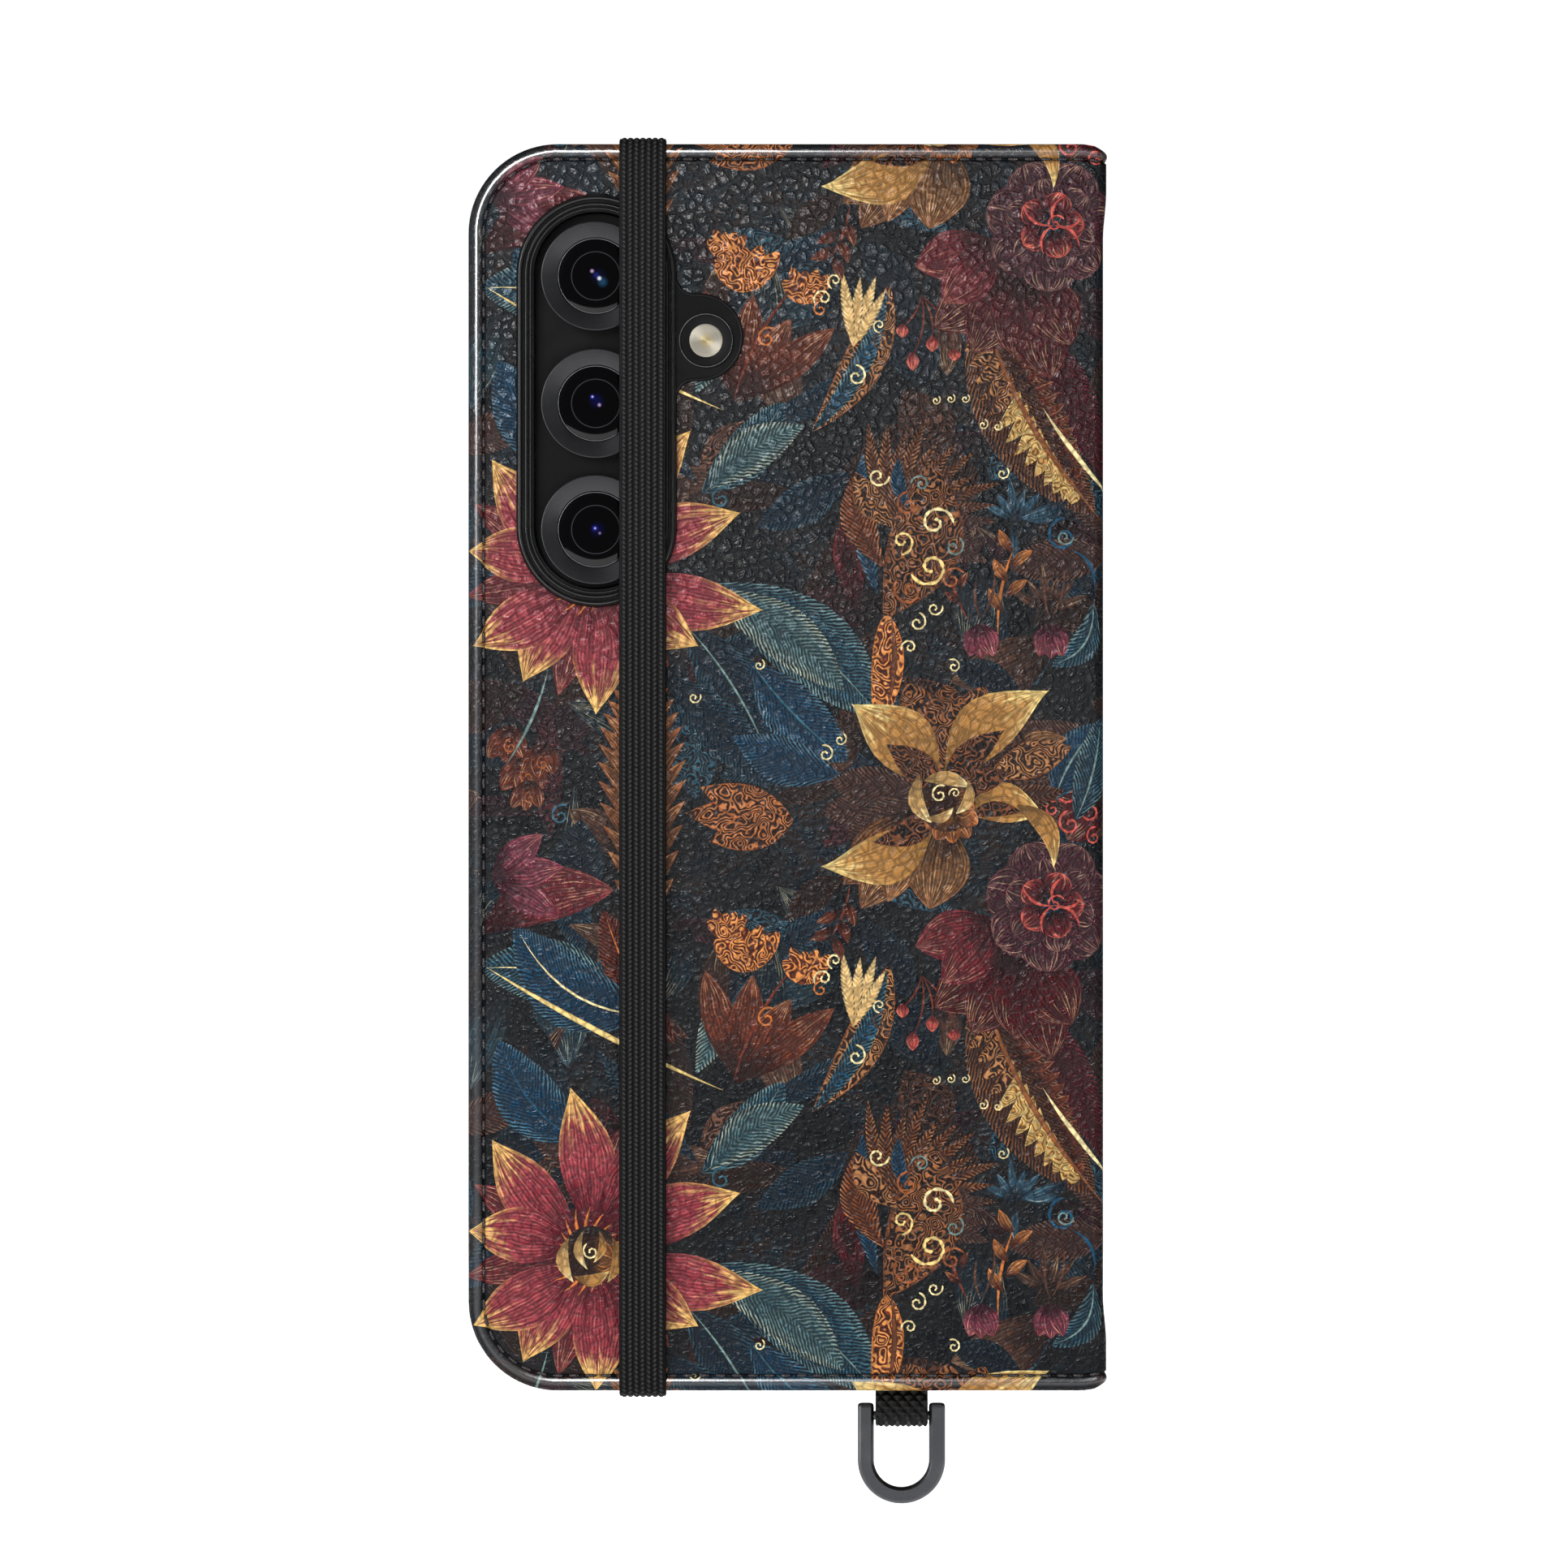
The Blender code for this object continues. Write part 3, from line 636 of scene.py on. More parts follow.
# %% Inks and blades
PETAL, FEATHER, SCROLL, STEM, DISC, GROUND = range(6)
INKS = {
    "crimson": ((112, 14, 38), (250, 200, 110), (232, 114, 118)),
    "fold": ((58, 14, 24), (214, 84, 74), (150, 50, 54)),
    "bark": ((26, 13, 10), (104, 56, 32), (140, 82, 48)),
    "bulb": ((66, 26, 10), (176, 92, 40), (214, 140, 72)),
    "umbra": ((24, 14, 12), (58, 34, 26), (92, 56, 42)),
    "shade": ((20, 10, 16), (56, 22, 30), (84, 40, 44)),
    "wine": ((64, 12, 24), (120, 32, 46), (166, 66, 70)),
    "claret": ((44, 6, 14), (84, 14, 24), (122, 36, 42)),
    "gold": ((198, 142, 72), (250, 222, 142), (70, 34, 16)),
    "cream": ((214, 170, 104), (252, 236, 176), (92, 52, 26)),
    "umber": ((54, 26, 16), (142, 84, 46), (206, 148, 92)),
    "brown": ((40, 20, 14), (112, 62, 36), (176, 112, 64)),
    "dusk": ((46, 28, 26), (88, 56, 44), (128, 88, 66)),
    "copper": ((66, 30, 16), (164, 90, 46), (208, 136, 78)),
    "rust": ((60, 20, 14), (116, 48, 30), (156, 76, 46)),
    "ember": ((112, 48, 22), (212, 122, 54), (240, 170, 96)),
    "teal": ((10, 32, 46), (52, 104, 122), (132, 166, 160)),
    "mist": ((28, 56, 66), (120, 148, 142), (200, 202, 174)),
    "blue": ((8, 36, 56), (22, 80, 112), (96, 144, 164)),
    "deep": ((6, 20, 32), (22, 58, 78), (56, 96, 108)),
    "night": ((5, 14, 24), (14, 36, 50), (34, 62, 74)),
    "plum": ((30, 10, 20), (94, 44, 56), (120, 60, 72)),
    "berry": ((70, 18, 40), (134, 44, 68), (200, 104, 116)),
    "coral": ((150, 44, 44), (206, 86, 74), (226, 130, 108)),
    "ground": ((4, 8, 14), (8, 22, 32), (34, 20, 16)),
}
REPEAT = 83.8
blades = []


def blade(x, z, angle, length, half, ink, kind=PETAL, bend=0.0, fullness=1.0, point=0.9):
    """Notes a blade from its root at (x, z), pointing along angle in degrees. At share u of the
    length, its middle is bend * 4u(1 - u) off the line and its half width is
    half * sin(pi * u ** fullness) ** point."""
    blades.append((x, z, math.radians(angle), length, half, ink, kind, bend, fullness, point))


def disc(x, z, radius, ink, kind=DISC):
    """Notes a round figure, whose rings are drawn from its centre."""
    blades.append((x, z, 0.0, radius, radius, ink, kind, 0.0, 1.0, 1.0))


def beside(x, z, reach, turn):
    """The point at that reach from (x, z), with turn in radians."""
    return x + reach * math.cos(turn), z + reach * math.sin(turn)


def swirl(x, z, size, ink, start=0.0, way=1):
    """A snail line: nine short bent strokes along a spiral whose radius shrinks by a fifth each."""
    radius, turn = size, math.radians(start)
    for _ in range(9):
        at_x, at_z = beside(x, z, radius, turn)
        turn += way * math.radians(50)
        radius *= 0.84
        to_x, to_z = beside(x, z, radius, turn)
        long = math.hypot(to_x - at_x, to_z - at_z) * 1.12
        angle = math.degrees(math.atan2(to_z - at_z, to_x - at_x))
        blade(at_x, at_z, angle, long, 0.05 + size * 0.07, ink, STEM, -0.11 * way, 1.0, 0.4)


def fan(x, z, angles, length, half, ink, kind=PETAL, spread=0.0, **more):
    """Blades from one root; the length swings by spread from one to the next."""
    for number, angle in enumerate(angles):
        grow = 1 + spread * math.sin(2.4 * number + 0.7)
        blade(x, z, angle, length * grow, half, ink, kind, **more)


# %% [markdown]
# Each figure is a function that notes its blades from back to front, so that later blades lie
# on top. One repeat of the pattern is then a list of figures with their places.

# %% Figures of the print


def bloom(x, z):
    """Crimson petals with golden tips in two layers, round a folded golden bud."""
    disc(x, z, 6.0, "wine", GROUND)
    back = [(75, 17.0), (20, 17.5), (-50, 15.0), (-105, 15.5), (-170, 16.0), (150, 17.0)]
    front = [(131, 18.6), (97, 20.6), (55, 21.5), (-12, 21.7), (-88, 17.4), (-122, 15.8)]
    front += [(-149, 17.4), (170, 15.8), (22, 19.9), (-34, 16.0)]
    for angle, length in back:
        blade(x, z, angle, length, 2.3, "wine", fullness=1.15, point=0.9)
    for number, (angle, length) in enumerate(front):
        blade(x, z, angle, length, 3.5, "crimson", bend=0.05 * (-1) ** number, fullness=1.2, point=1.15)
    for angle in range(0, 360, 18):
        blade(x, z, angle, 5.0 + 0.9 * math.sin(angle), 0.22, "ember", STEM, 0.12)
    disc(x, z - 0.2, 3.6, "bark", GROUND)
    disc(x, z - 0.9, 3.0, "bulb", PETAL)
    blade(x - 2.7, z + 2.0, -84, 5.6, 0.8, "cream", bend=-0.2)
    blade(x + 2.6, z + 2.0, -96, 5.6, 0.8, "gold", bend=0.2)
    blade(x - 0.9, z + 2.8, -84, 4.8, 0.55, "cream", bend=-0.2)
    blade(x + 1.0, z + 2.8, -100, 4.0, 0.5, "gold", bend=0.2)
    swirl(x + 0.1, z + 0.2, 1.2, "cream", 120)
    blade(x - 2.1, z - 2.8, 8, 4.4, 0.8, "gold", bend=-0.2)


def lily(x, z):
    """A golden lily: broad curled petals, brown hatched ones behind, a cream scroll and a bulb."""
    fan(x - 1, z, (188, 172, 204), 13.5, 2.6, "dusk", FEATHER, 0.12, fullness=1.4)
    fan(x - 2, z - 1, (236, 222), 14.5, 3.4, "brown", PETAL, 0.1, fullness=1.2)
    fan(x, z + 2, (112, 68, 90), 12.4, 2.9, "brown", SCROLL, 0.06, fullness=1.35, point=0.7)
    blade(x - 0.5, z - 2, 262, 12.0, 4.1, "umber", bend=0.02, fullness=1.2, point=0.9)
    blade(x - 2.4, z - 2, 246, 12.0, 2.6, "umber", bend=-0.06, fullness=1.3)
    blade(x + 4.5, z + 2.2, 20, 11.5, 2.3, "umber", SCROLL, 0.02, fullness=1.2)
    blade(x + 2.5, z - 0.5, 6, 12.0, 1.8, "brown", FEATHER, -0.05, fullness=1.2)
    for angle, length, half, bend in (
        (133, 16.4, 3.9, -0.1), (46, 19.0, 3.6, 0.14), (208, 17.0, 3.3, 0.18),
    ):
        blade(x - 0.6, z - 0.6, angle, length, half, "gold", bend=bend, fullness=1.15, point=1.2)
        length, half, bend = length * 0.6, half * 0.52, bend * 0.7
        blade(x - 0.4, z - 0.4, angle + 3, length, half, "bark", SCROLL, bend, 1.0, 1.0)
    blade(x + 1.4, z - 2.4, 0, 10.6, 2.5, "gold", bend=0.16, fullness=1.1, point=1.1)
    blade(x + 8.6, z - 1.0, -60, 9.0, 1.3, "gold", bend=0.2, fullness=0.8)
    blade(x + 2.6, z - 2.4, 4, 6.6, 1.0, "bark", SCROLL, 0.1)
    blade(x + 1.4, z + 0.4, 22, 6.8, 1.5, "bark", SCROLL, 0.05)
    for angle, length in ((300, 5.0), (276, 5.0), (252, 4.8), (324, 4.4), (228, 4.2)):
        blade(x + 0.2, z - 0.8, angle, length, 1.25, "bulb", PETAL, fullness=1.2, point=0.6)
    disc(x, z - 0.9, 3.5, "bark", GROUND)
    disc(x + 0.5, z - 1.4, 2.9, "bulb", PETAL)
    blade(x - 3.4, z + 2.6, -76, 6.0, 1.0, "cream", bend=-0.2, point=0.7)
    blade(x - 2.8, z + 2.0, -8, 5.6, 0.9, "cream", bend=0.12, point=0.7)
    blade(x + 2.6, z + 2.0, -110, 4.4, 0.7, "cream", bend=0.2, point=0.7)
    blade(x - 2.6, z - 2.6, 20, 3.6, 0.6, "cream", bend=-0.2, point=0.7)
    swirl(x - 0.9, z + 0.2, 1.3, "cream", 60)
    swirl(x + 1.0, z + 0.4, 0.8, "cream", 200, -1)


def rose(x, z):
    """A dark rose: three rings of round petals, smaller and warmer inwards, on claret leaves."""
    leaves = (214, 238, 262, 282, 300)
    fan(x - 3, z - 5, leaves, 12.5, 3.7, "claret", PETAL, 0.14, fullness=1.3, point=0.8)
    fan(x - 6, z - 2, (196, 226), 10.5, 3.2, "wine", PETAL, 0.1, fullness=1.2)
    for count, reach, length, half, ink, point, first in (
        (7, 2.6, 5.6, 3.4, "plum", 0.5, 10),
        (6, 1.5, 4.3, 2.5, "plum", 0.5, 40),
        (5, 0.8, 3.4, 1.8, "fold", 0.6, 0),
    ):
        for number in range(count):
            angle = first + 360 * number / count
            root = beside(x, z, reach, math.radians(angle))
            blade(*root, angle, length, half, ink, fullness=1.25, point=point)
    veins = ((150, 4.4, 0.2), (70, 3.8, 0.24), (15, 3.6, -0.2), (-40, 4.2, 0.2), (-110, 3.8, -0.24))
    for angle, length, bend in veins:
        blade(x + 0.4, z, angle, length, 0.2, "coral", STEM, bend)
    swirl(x + 0.5, z + 0.1, 1.3, "coral", 30)


def plume(x, z, angle, length, half, ink, bend=0.0, shaft="cream", fullness=1.1):
    """A feather: a barbed vane with a thin shaft."""
    blade(x, z, angle, length, half, ink, FEATHER, bend, fullness, 0.7)
    blade(x, z, angle, length * 0.96, 0.15, shaft, STEM, bend)


def fern(x, z, angle, length, half, ink, shaft, pairs=10, lean=34):
    """A feather of separate barbs: pairs of small blades that shrink towards both ends."""
    turn = math.radians(angle)
    blade(x, z, angle, length, half * 0.5, ink, FEATHER, 0.0, 1.0, 0.8)
    for number in range(pairs):
        share = (number + 0.6) / (pairs + 0.4)
        reach = half * (0.45 + 1.5 * math.sin(math.pi * share**0.9) ** 0.7)
        at_x, at_z = beside(x, z, length * share, turn)
        width = length / pairs * 0.42
        for side in (-1, 1):
            blade(at_x, at_z, angle + side * lean, reach, width, ink, PETAL, -0.08 * side, 0.9)
    blade(x, z, angle, length, 0.2, shaft, STEM)


def eye_feather(x, z, angle, length, half, ink, bend):
    """A patterned feather: a scrolled blade with small snail lines along its middle."""
    blade(x, z, angle, length, half, ink, SCROLL, bend, 1.15, 0.75)
    blade(x, z, angle, length * 0.96, half * 0.5, "teal", FEATHER, bend * 0.9, 1.0, 0.8)
    turn = math.radians(angle)
    for number, (share, size) in enumerate(((0.24, 0.5), (0.42, 0.56), (0.6, 0.5), (0.76, 0.36))):
        off = bend * 4 * share * (1 - share) * length
        at_x, at_z = beside(x, z, length * share, turn)
        at_x, at_z = at_x - off * math.sin(turn), at_z + off * math.cos(turn)
        ring_ink = "cream" if number % 2 else "blue"
        swirl(at_x, at_z, half * size, ring_ink, 90 * number, (-1) ** number)


def scroll_bird(x, z):
    """The big ornate plume: a brown paisley with snail lines, a hatched crest and a long tail."""
    fan(x - 1, z + 3, range(104, 0, -10), 13.0, 0.9, "umber", FEATHER, 0.1, bend=0.05)
    fan(x + 1, z + 1, (60, 46, 32, 18, 2, -12), 9.6, 1.3, "dusk", FEATHER, 0.1, bend=0.05)
    blade(x - 5.5, z - 7, 84, 15.0, 2.2, "wine", PETAL, 0.12)
    blade(x - 6.2, z - 3, 80, 10.0, 1.5, "claret", PETAL, 0.14)
    blade(x - 3.2, z - 5, 96, 17.5, 1.5, "blue", FEATHER, 0.05)
    blade(x - 2.4, z - 8, 72, 20.0, 4.6, "brown", SCROLL, -0.1, 1.1, 0.8)
    blade(x - 2.0, z - 2, 108, 12.6, 2.2, "copper", FEATHER, 0.12, 1.2)
    blade(x - 0.4, z + 3, 128, 9.0, 1.7, "umber", SCROLL, 0.1, 1.3)
    blade(x + 0.6, z + 5.5, 100, 6.5, 0.9, "blue", FEATHER, 0.1)
    for at_x, at_z, size, ink, start in (
        (3.9, 3.8, 2.3, "cream", 0), (0.6, 6.0, 1.7, "copper", 90), (3.4, -1.6, 2.6, "gold", 200),
        (6.0, -3.2, 1.7, "copper", 30), (-0.2, 1.6, 1.7, "gold", 270), (0.8, -4.6, 2.1, "copper", 140),
        (6.2, 0.8, 1.4, "mist", 60), (-3.2, 9.6, 1.5, "cream", 0), (2.2, 8.6, 1.3, "mist", 180),
    ):
        swirl(x + at_x, z + at_z, size, ink, start, 1 if size > 1.6 else -1)
    blade(x - 2.0, z - 7.5, 264, 15.0, 2.0, "ember", SCROLL, 0.05, 0.75, 0.8)
    blade(x - 1.6, z - 7.2, 268, 12.0, 0.35, "brown", STEM, 0.06)


def wing(x, z):
    """The long curved wing feather at the spine: brown scrolls, cream tips and a pale shaft."""
    blade(x + 3.0, z - 1.0, -58, 25.0, 3.2, "claret", FEATHER, 0.06, 1.0)
    blade(x + 0.4, z + 0.4, -62, 30.0, 5.0, "brown", FEATHER, -0.09, 0.95, 0.62)
    turn = math.radians(-62)
    for number in range(15):
        share = 0.06 + 0.058 * number
        at_x, at_z = beside(x, z, 30 * share, turn)
        at_x -= 0.6
        reach = 5.6 * math.sin(math.pi * (share + 0.08)) ** 0.6
        blade(at_x, at_z, 222 + 3 * number, reach, 0.85, "umber" if number < 6 else "gold", SCROLL, 0.12)
        blade(at_x + 0.4, at_z, -2 + 3 * number, reach * 0.7, 0.7, "rust", PETAL, -0.1)
    blade(x + 11.0, z - 24.5, 200, 6.0, 1.1, "blue", PETAL, 0.1)
    blade(x + 0.2, z + 0.6, -60, 33.0, 0.34, "umber", STEM, -0.07)
    blade(x + 8.0, z - 13.0, -50, 15.0, 0.3, "cream", STEM, -0.04)


def sprig(x, z, ink, size=4.0):
    """Seven thin leaves in a fan."""
    fan(x, z, (20, 48, 72, 96, 122, 150, 270), size, size * 0.12, ink, PETAL, 0.15)


def twig(x, z, angle, length, ink, leaf):
    """A bent stalk with leaves on both sides."""
    blade(x, z, angle, length, 0.2, ink, STEM, 0.06)
    turn = math.radians(angle)
    for number in range(5):
        share = 0.3 + 0.16 * number
        at_x, at_z = beside(x, z, length * share, turn)
        blade(at_x, at_z, angle + 42 * (-1) ** number, leaf, leaf * 0.2, ink, PETAL, 0.06)


def berries(x, z):
    """Hanging stalks with small red buds."""
    for number, (angle, length) in enumerate(((262, 7.5), (284, 5.6), (240, 4.6), (300, 8.2))):
        blade(x, z, angle, length, 0.14, "rust", STEM, 0.1)
        at_x, at_z = beside(x, z, length, math.radians(angle))
        blade(at_x, at_z + 0.5, 270, 2.4 - 0.3 * number, 0.8, "coral", PETAL)


def one_repeat():
    """All the figures of one repeat, from the far layer to the near one."""
    chance = np.random.default_rng(11)
    far_inks = ("night", "deep", "dusk", "umbra", "deep", "shade", "umbra", "night")
    for _ in range(120):
        x, z = chance.uniform(-42, 42), chance.uniform(-77, 6.8)
        ink = far_inks[chance.integers(8)]
        kind = (PETAL, FEATHER, FEATHER, SCROLL)[chance.integers(4)]
        size = chance.uniform(7, 20)
        angle = chance.uniform(0, 360)
        half = chance.uniform(1.2, 3.6)
        blade(x, z, angle, size, half, ink, kind, chance.uniform(-0.1, 0.1))
    # leaves and feathers behind the flowers
    plume(-8.5, 22.5, -38, 26.0, 5.0, "teal", 0.06, "mist")
    plume(-12.0, 17.5, -58, 20.0, 4.0, "deep", 0.05, "mist")
    plume(-4.0, 13.0, -46, 17.0, 3.6, "blue", -0.04, "teal")
    blade(-14.5, 11.5, -48, 19.0, 3.0, "deep", FEATHER, 0.03)
    blade(-15.0, 22.5, -30, 26.0, 3.4, "mist", FEATHER, 0.1, 1.6)
    blade(7.0, -1.0, 160, 14.0, 3.0, "blue", FEATHER, 0.05)
    fern(-17.0, -23.0, 91, 32.0, 5.0, "copper", "ember", 13)
    plume(-13.5, -34.0, 118, 18.5, 2.8, "rust", 0.05, "ember")
    plume(-19.5, -31.0, 160, 19.0, 4.2, "teal", -0.12, "cream", 1.1)
    plume(-15.0, -30.5, 150, 21.0, 4.4, "blue", 0.16, "cream", 1.2)
    blade(-7.4, -39.8, 152.5, 33.0, 0.34, "gold", STEM, 0.02)
    plume(-25.5, -46.0, 128, 15.5, 3.9, "blue", 0.1, "blue", 0.9)
    blade(-37.5, -20.5, 18, 17.5, 3.4, "wine", PETAL, 0.12, 1.1, 0.8)
    fan(-36.0, -13.5, (-30, 8, 40), 9.0, 1.9, "berry", PETAL, 0.12)
    blade(-8.5, -27.0, 258, 11.0, 1.9, "mist", FEATHER, 0.1)
    plume(-10.0, -50.0, 48, 15.0, 3.0, "teal", -0.06, "mist")
    blade(-9.0, -49.5, 34, 14.0, 2.7, "mist", FEATHER, 0.08)
    eye_feather(3.5, -42.5, 62, 20.5, 2.6, "umber", -0.08)
    fan(8.6, -32.0, (72, 84, 60, 98), 8.6, 0.75, "cream", FEATHER, 0.1)
    fan(-5.6, -39.0, (106, 82, 58, 38), 13.5, 2.1, "rust", PETAL, 0.12, fullness=1.2)
    blade(-6.2, -39.0, 62, 17.0, 0.22, "rust", STEM, 0.06)
    # small figures
    for x, z, size in ((-4.6, -22.6, 1.0), (2.8, -24.8, 0.74), (-7.0, -19.6, 0.6)):
        angles = (50, 72, 92, 112, 134)
        fan(x, z - 2.6 * size, angles, 6.0 * size, 1.3 * size, "ember", SCROLL, 0.1, point=0.6)
    fan(1.2, -6.6, (176, 160, 194), 12.0, 2.4, "copper", SCROLL, 0.16, fullness=0.9)
    for x, z, size, ink in (
        (-34.2, -49.0, 1.5, "mist"), (-33.5, 34.0, 1.6, "mist"), (-2.0, -31.0, 1.5, "ember"),
        (4.6, -27.4, 1.2, "ember"), (-27.4, -6.0, 1.5, "teal"), (-7.6, 33.0, 1.6, "teal"),
        (12.0, -31.5, 1.3, "dusk"),
    ):
        swirl(x, z, size, ink, 40 * size)
    twig(8.2, -14.5, 250, 7.0, "rust", 3.4)
    sprig(28.5, -53.5, "blue", 4.6)
    sprig(32.5, -64.5, "dusk", 5.0)
    swirl(34.6, -55.4, 2.4, "blue", 90)
    swirl(34.6, -55.4, 1.2, "mist", 0, -1)
    blade(35.5, -57.0, -58, 6.0, 0.26, "blue", STEM, 0.2)
    plume(38.5, -63.5, 236, 9.5, 1.9, "teal", 0.2, "mist")
    twig(26.5, -68.0, 80, 11.5, "ember", 3.4)
    twig(23.0, -66.0, 108, 9.0, "rust", 2.6)
    for x in (24.4, 33.0):
        fan(x, -66.0, (250, 270, 290), 4.4, 1.5, "berry", PETAL)
        blade(x, -65.6, 96, 5.0, 0.2, "dusk", STEM, 0.1)
        blade(x, -65.4, 76, 6.4, 0.2, "dusk", STEM, -0.1)
    berries(17.0, -25.6)
    scroll_bird(14.8, -57.5)
    wing(24.0, -26.5)
    # birds' eyes and brown pods on the left
    for x, z, size in ((-31.5, 2.0, 1.0), (-33.6, 5.2, 0.85), (-29.6, 3.0, 0.8), (-31.2, -1.6, 0.7)):
        fan(x, z, (236, 262, 290), 5.4 * size, 1.5 * size, "rust", PETAL, 0.1, point=0.6)
        swirl(x, z - 3.2 * size, 1.2 * size, "copper", 90)
    blade(-29.0, 12.0, 246, 13.0, 0.2, "mist", STEM, 0.05)
    rose(33.0, -17.0)
    fan(40.0, -4.0, (150, 175, 200, 225), 6.4, 2.1, "claret", PETAL, 0.1, point=0.6)
    for x, z, size in (
        (35.2, -3.2, 1.8), (38.2, -5.4, 1.8), (35.4, -7.0, 1.7), (38.6, -8.6, 1.3), (33.2, -5.2, 1.1),
    ):
        swirl(x, z, size, "coral", 60 * size)
    plume(33.5, -4.0, 58, 11.0, 2.8, "blue", 0.08, "mist")
    plume(36.0, -6.5, 74, 13.0, 2.6, "teal", -0.06, "mist")
    blade(28.0, 0.5, 24, 7.6, 1.7, "umber", PETAL, 0.1)
    lily(20.2, -3.6)
    bloom(-23.7, -59.9)
    for x, z, angle, size in (
        (16.5, -66.0, 80, 2.6), (18.6, -64.2, 20, 2.2), (15.6, -69.0, 200, 2.2), (21.0, -71.4, 120, 2.0),
        (20.6, -38.4, 60, 1.3), (22.4, -38.4, 60, 1.3), (18.8, -38.6, 60, 1.3), (24.6, -41.6, 70, 1.5),
        (26.4, -41.8, 70, 1.4), (27.0, -47.6, 50, 1.8), (5.0, -26.0, 210, 2.6), (6.4, -23.8, 250, 2.2),
        (-11.0, 8.6, 30, 1.8), (5.2, 1.6, 110, 2.4), (7.0, 3.4, 60, 1.8), (-3.0, 12.6, 60, 1.6),
    ):
        swirl(x, z, 0.5 * size, "cream", angle, -1)


one_repeat()
print("blades in one repeat", len(blades))

# %% [markdown]
# The flat skin is cut along every outline at once. A constrained triangulation takes all the
# blades, the lines where the skin bends and the camera window, and says for each triangle
# which figures cover it. The last one drawn wins. Each corner then gets the winning blade's
# own coordinates, which are a straight map of (s, z), so even a large triangle is exact.

# %% Cutting the skin along the print


def blade_outline(entry):
    """The outline of a blade or a disc as an array of points, root first, one side then back."""
    x, z, angle, length, half, ink, kind, bend, fullness, point = entry
    if length == half:
        turn = np.linspace(0, 2 * np.pi, 22, endpoint=False)
        return np.stack([x + length * np.cos(turn), z + length * np.sin(turn)], -1)
    steps = 9 if length < 7 else 15
    u = 0.5 - 0.5 * np.cos(np.linspace(0, np.pi, steps))
    width = half * np.sin(np.pi * u**fullness) ** point
    width = np.nan_to_num(width)
    middle = bend * 4 * u * (1 - u) * length
    along = np.concatenate([u, u[-2:0:-1]]) * length
    across = np.concatenate([middle - width, (middle + width)[-2:0:-1]])
    cos, sin = math.cos(angle), math.sin(angle)
    return np.stack([x + along * cos - across * sin, z + along * sin + across * cos], -1)


def arc_points(x, z, radius, start, end, steps):
    """Points on a circle from one angle to another, in degrees."""
    turn = np.radians(np.linspace(start, end, steps + 1))
    return np.stack([x + radius * np.cos(turn), z + radius * np.sin(turn)], -1)


rim_low, rim_high = box("camera_bezel")
plate_low, plate_high = box("camera_plate")
RIM_WIDTH = 2.2
WINDOW_RADIUS = (plate_high[0] - plate_low[0]) / 2 + RIM_WIDTH + 0.15
WINDOW_X = (plate_high[0] + plate_low[0]) / 2
WINDOW_HIGH = rim_high[2] - WINDOW_RADIUS
WINDOW_LOW = rim_low[2] + WINDOW_RADIUS
flash_low, flash_high = box("flash_ring")
LUG_RADIUS, LUG_FILLET = 5.35, 2.3
WINDOW_GAP, NO_WINDOW = 0.05, 99.0
BEYOND = 81.0
CREASE_CUTS = 34.6
LUG_X = rim_high[0] - LUG_RADIUS
LUG_Z = (flash_high[2] + flash_low[2]) / 2 + 0.4


def lug_arcs(grow, few, many):
    """The lug's edge from below to above: a fillet, the round end and a fillet."""
    side, fillet = WINDOW_X + WINDOW_RADIUS + LUG_FILLET, LUG_FILLET - grow
    return [
        arc_points(side, LUG_Z - LUG_RADIUS - LUG_FILLET, fillet, 180, 90, few),
        arc_points(LUG_X, LUG_Z, LUG_RADIUS + grow, -90, 90, many),
        arc_points(side, LUG_Z + LUG_RADIUS + LUG_FILLET, fillet, 270, 180, few),
    ]


def stadium_arcs(grow, steps):
    """The upper and the lower half circle of the frame, grown outwards; straight sides join them."""
    radius = WINDOW_RADIUS + grow
    return [
        arc_points(WINDOW_X, WINDOW_HIGH, radius, 0, 180, steps),
        arc_points(WINDOW_X, WINDOW_LOW, radius, 180, 360, steps),
    ]


def window_outline(grow):
    """The camera window: a stadium with a filleted lug on its right side, grown outwards."""
    return np.concatenate([*lug_arcs(grow, 8, 24), *stadium_arcs(grow, 36)])


def from_window(s, z):
    """Distance from each point to the window's outline."""
    ring = window_outline(WINDOW_GAP)
    start, step = ring, np.roll(ring, -1, 0) - ring
    near = (np.abs(s - WINDOW_X - 3) < 18) & (np.abs(z - 45) < 32)
    found = np.full(len(s), NO_WINDOW)
    rel = np.stack([s[near], z[near]], -1)[:, None] - start
    size = np.maximum((step**2).sum(-1), 1e-12)
    share = np.clip((rel * step).sum(-1) / size, 0, 1)
    found[near] = np.linalg.norm(rel - share[..., None] * step, axis=-1).min(1)
    return found


def border_loop(grow, side):
    """Half of the skin's border, grown outwards: from the spine's middle round the free corners
    and back to it. side is -1 for the back cover and 1 for the front."""
    straight_s, straight_z = SKIN_HALF - CORNER, HALF_HEIGHT - CORNER
    centre = SKIN_MIDDLE + side * straight_s
    radius = CORNER + grow
    top, bottom = HALF_HEIGHT + grow, -HALF_HEIGHT - grow
    first, second = 90, 180
    if side > 0:
        first, second = -90, 0
        straight_z = -straight_z
        top, bottom = bottom, top
    corners = [
        arc_points(centre, straight_z, radius, first, first + 90, 20),
        arc_points(centre, -straight_z, radius, second, second + 90, 20),
    ]
    return np.concatenate([[[SKIN_MIDDLE, top]], *corners, [[SKIN_MIDDLE, bottom]]])


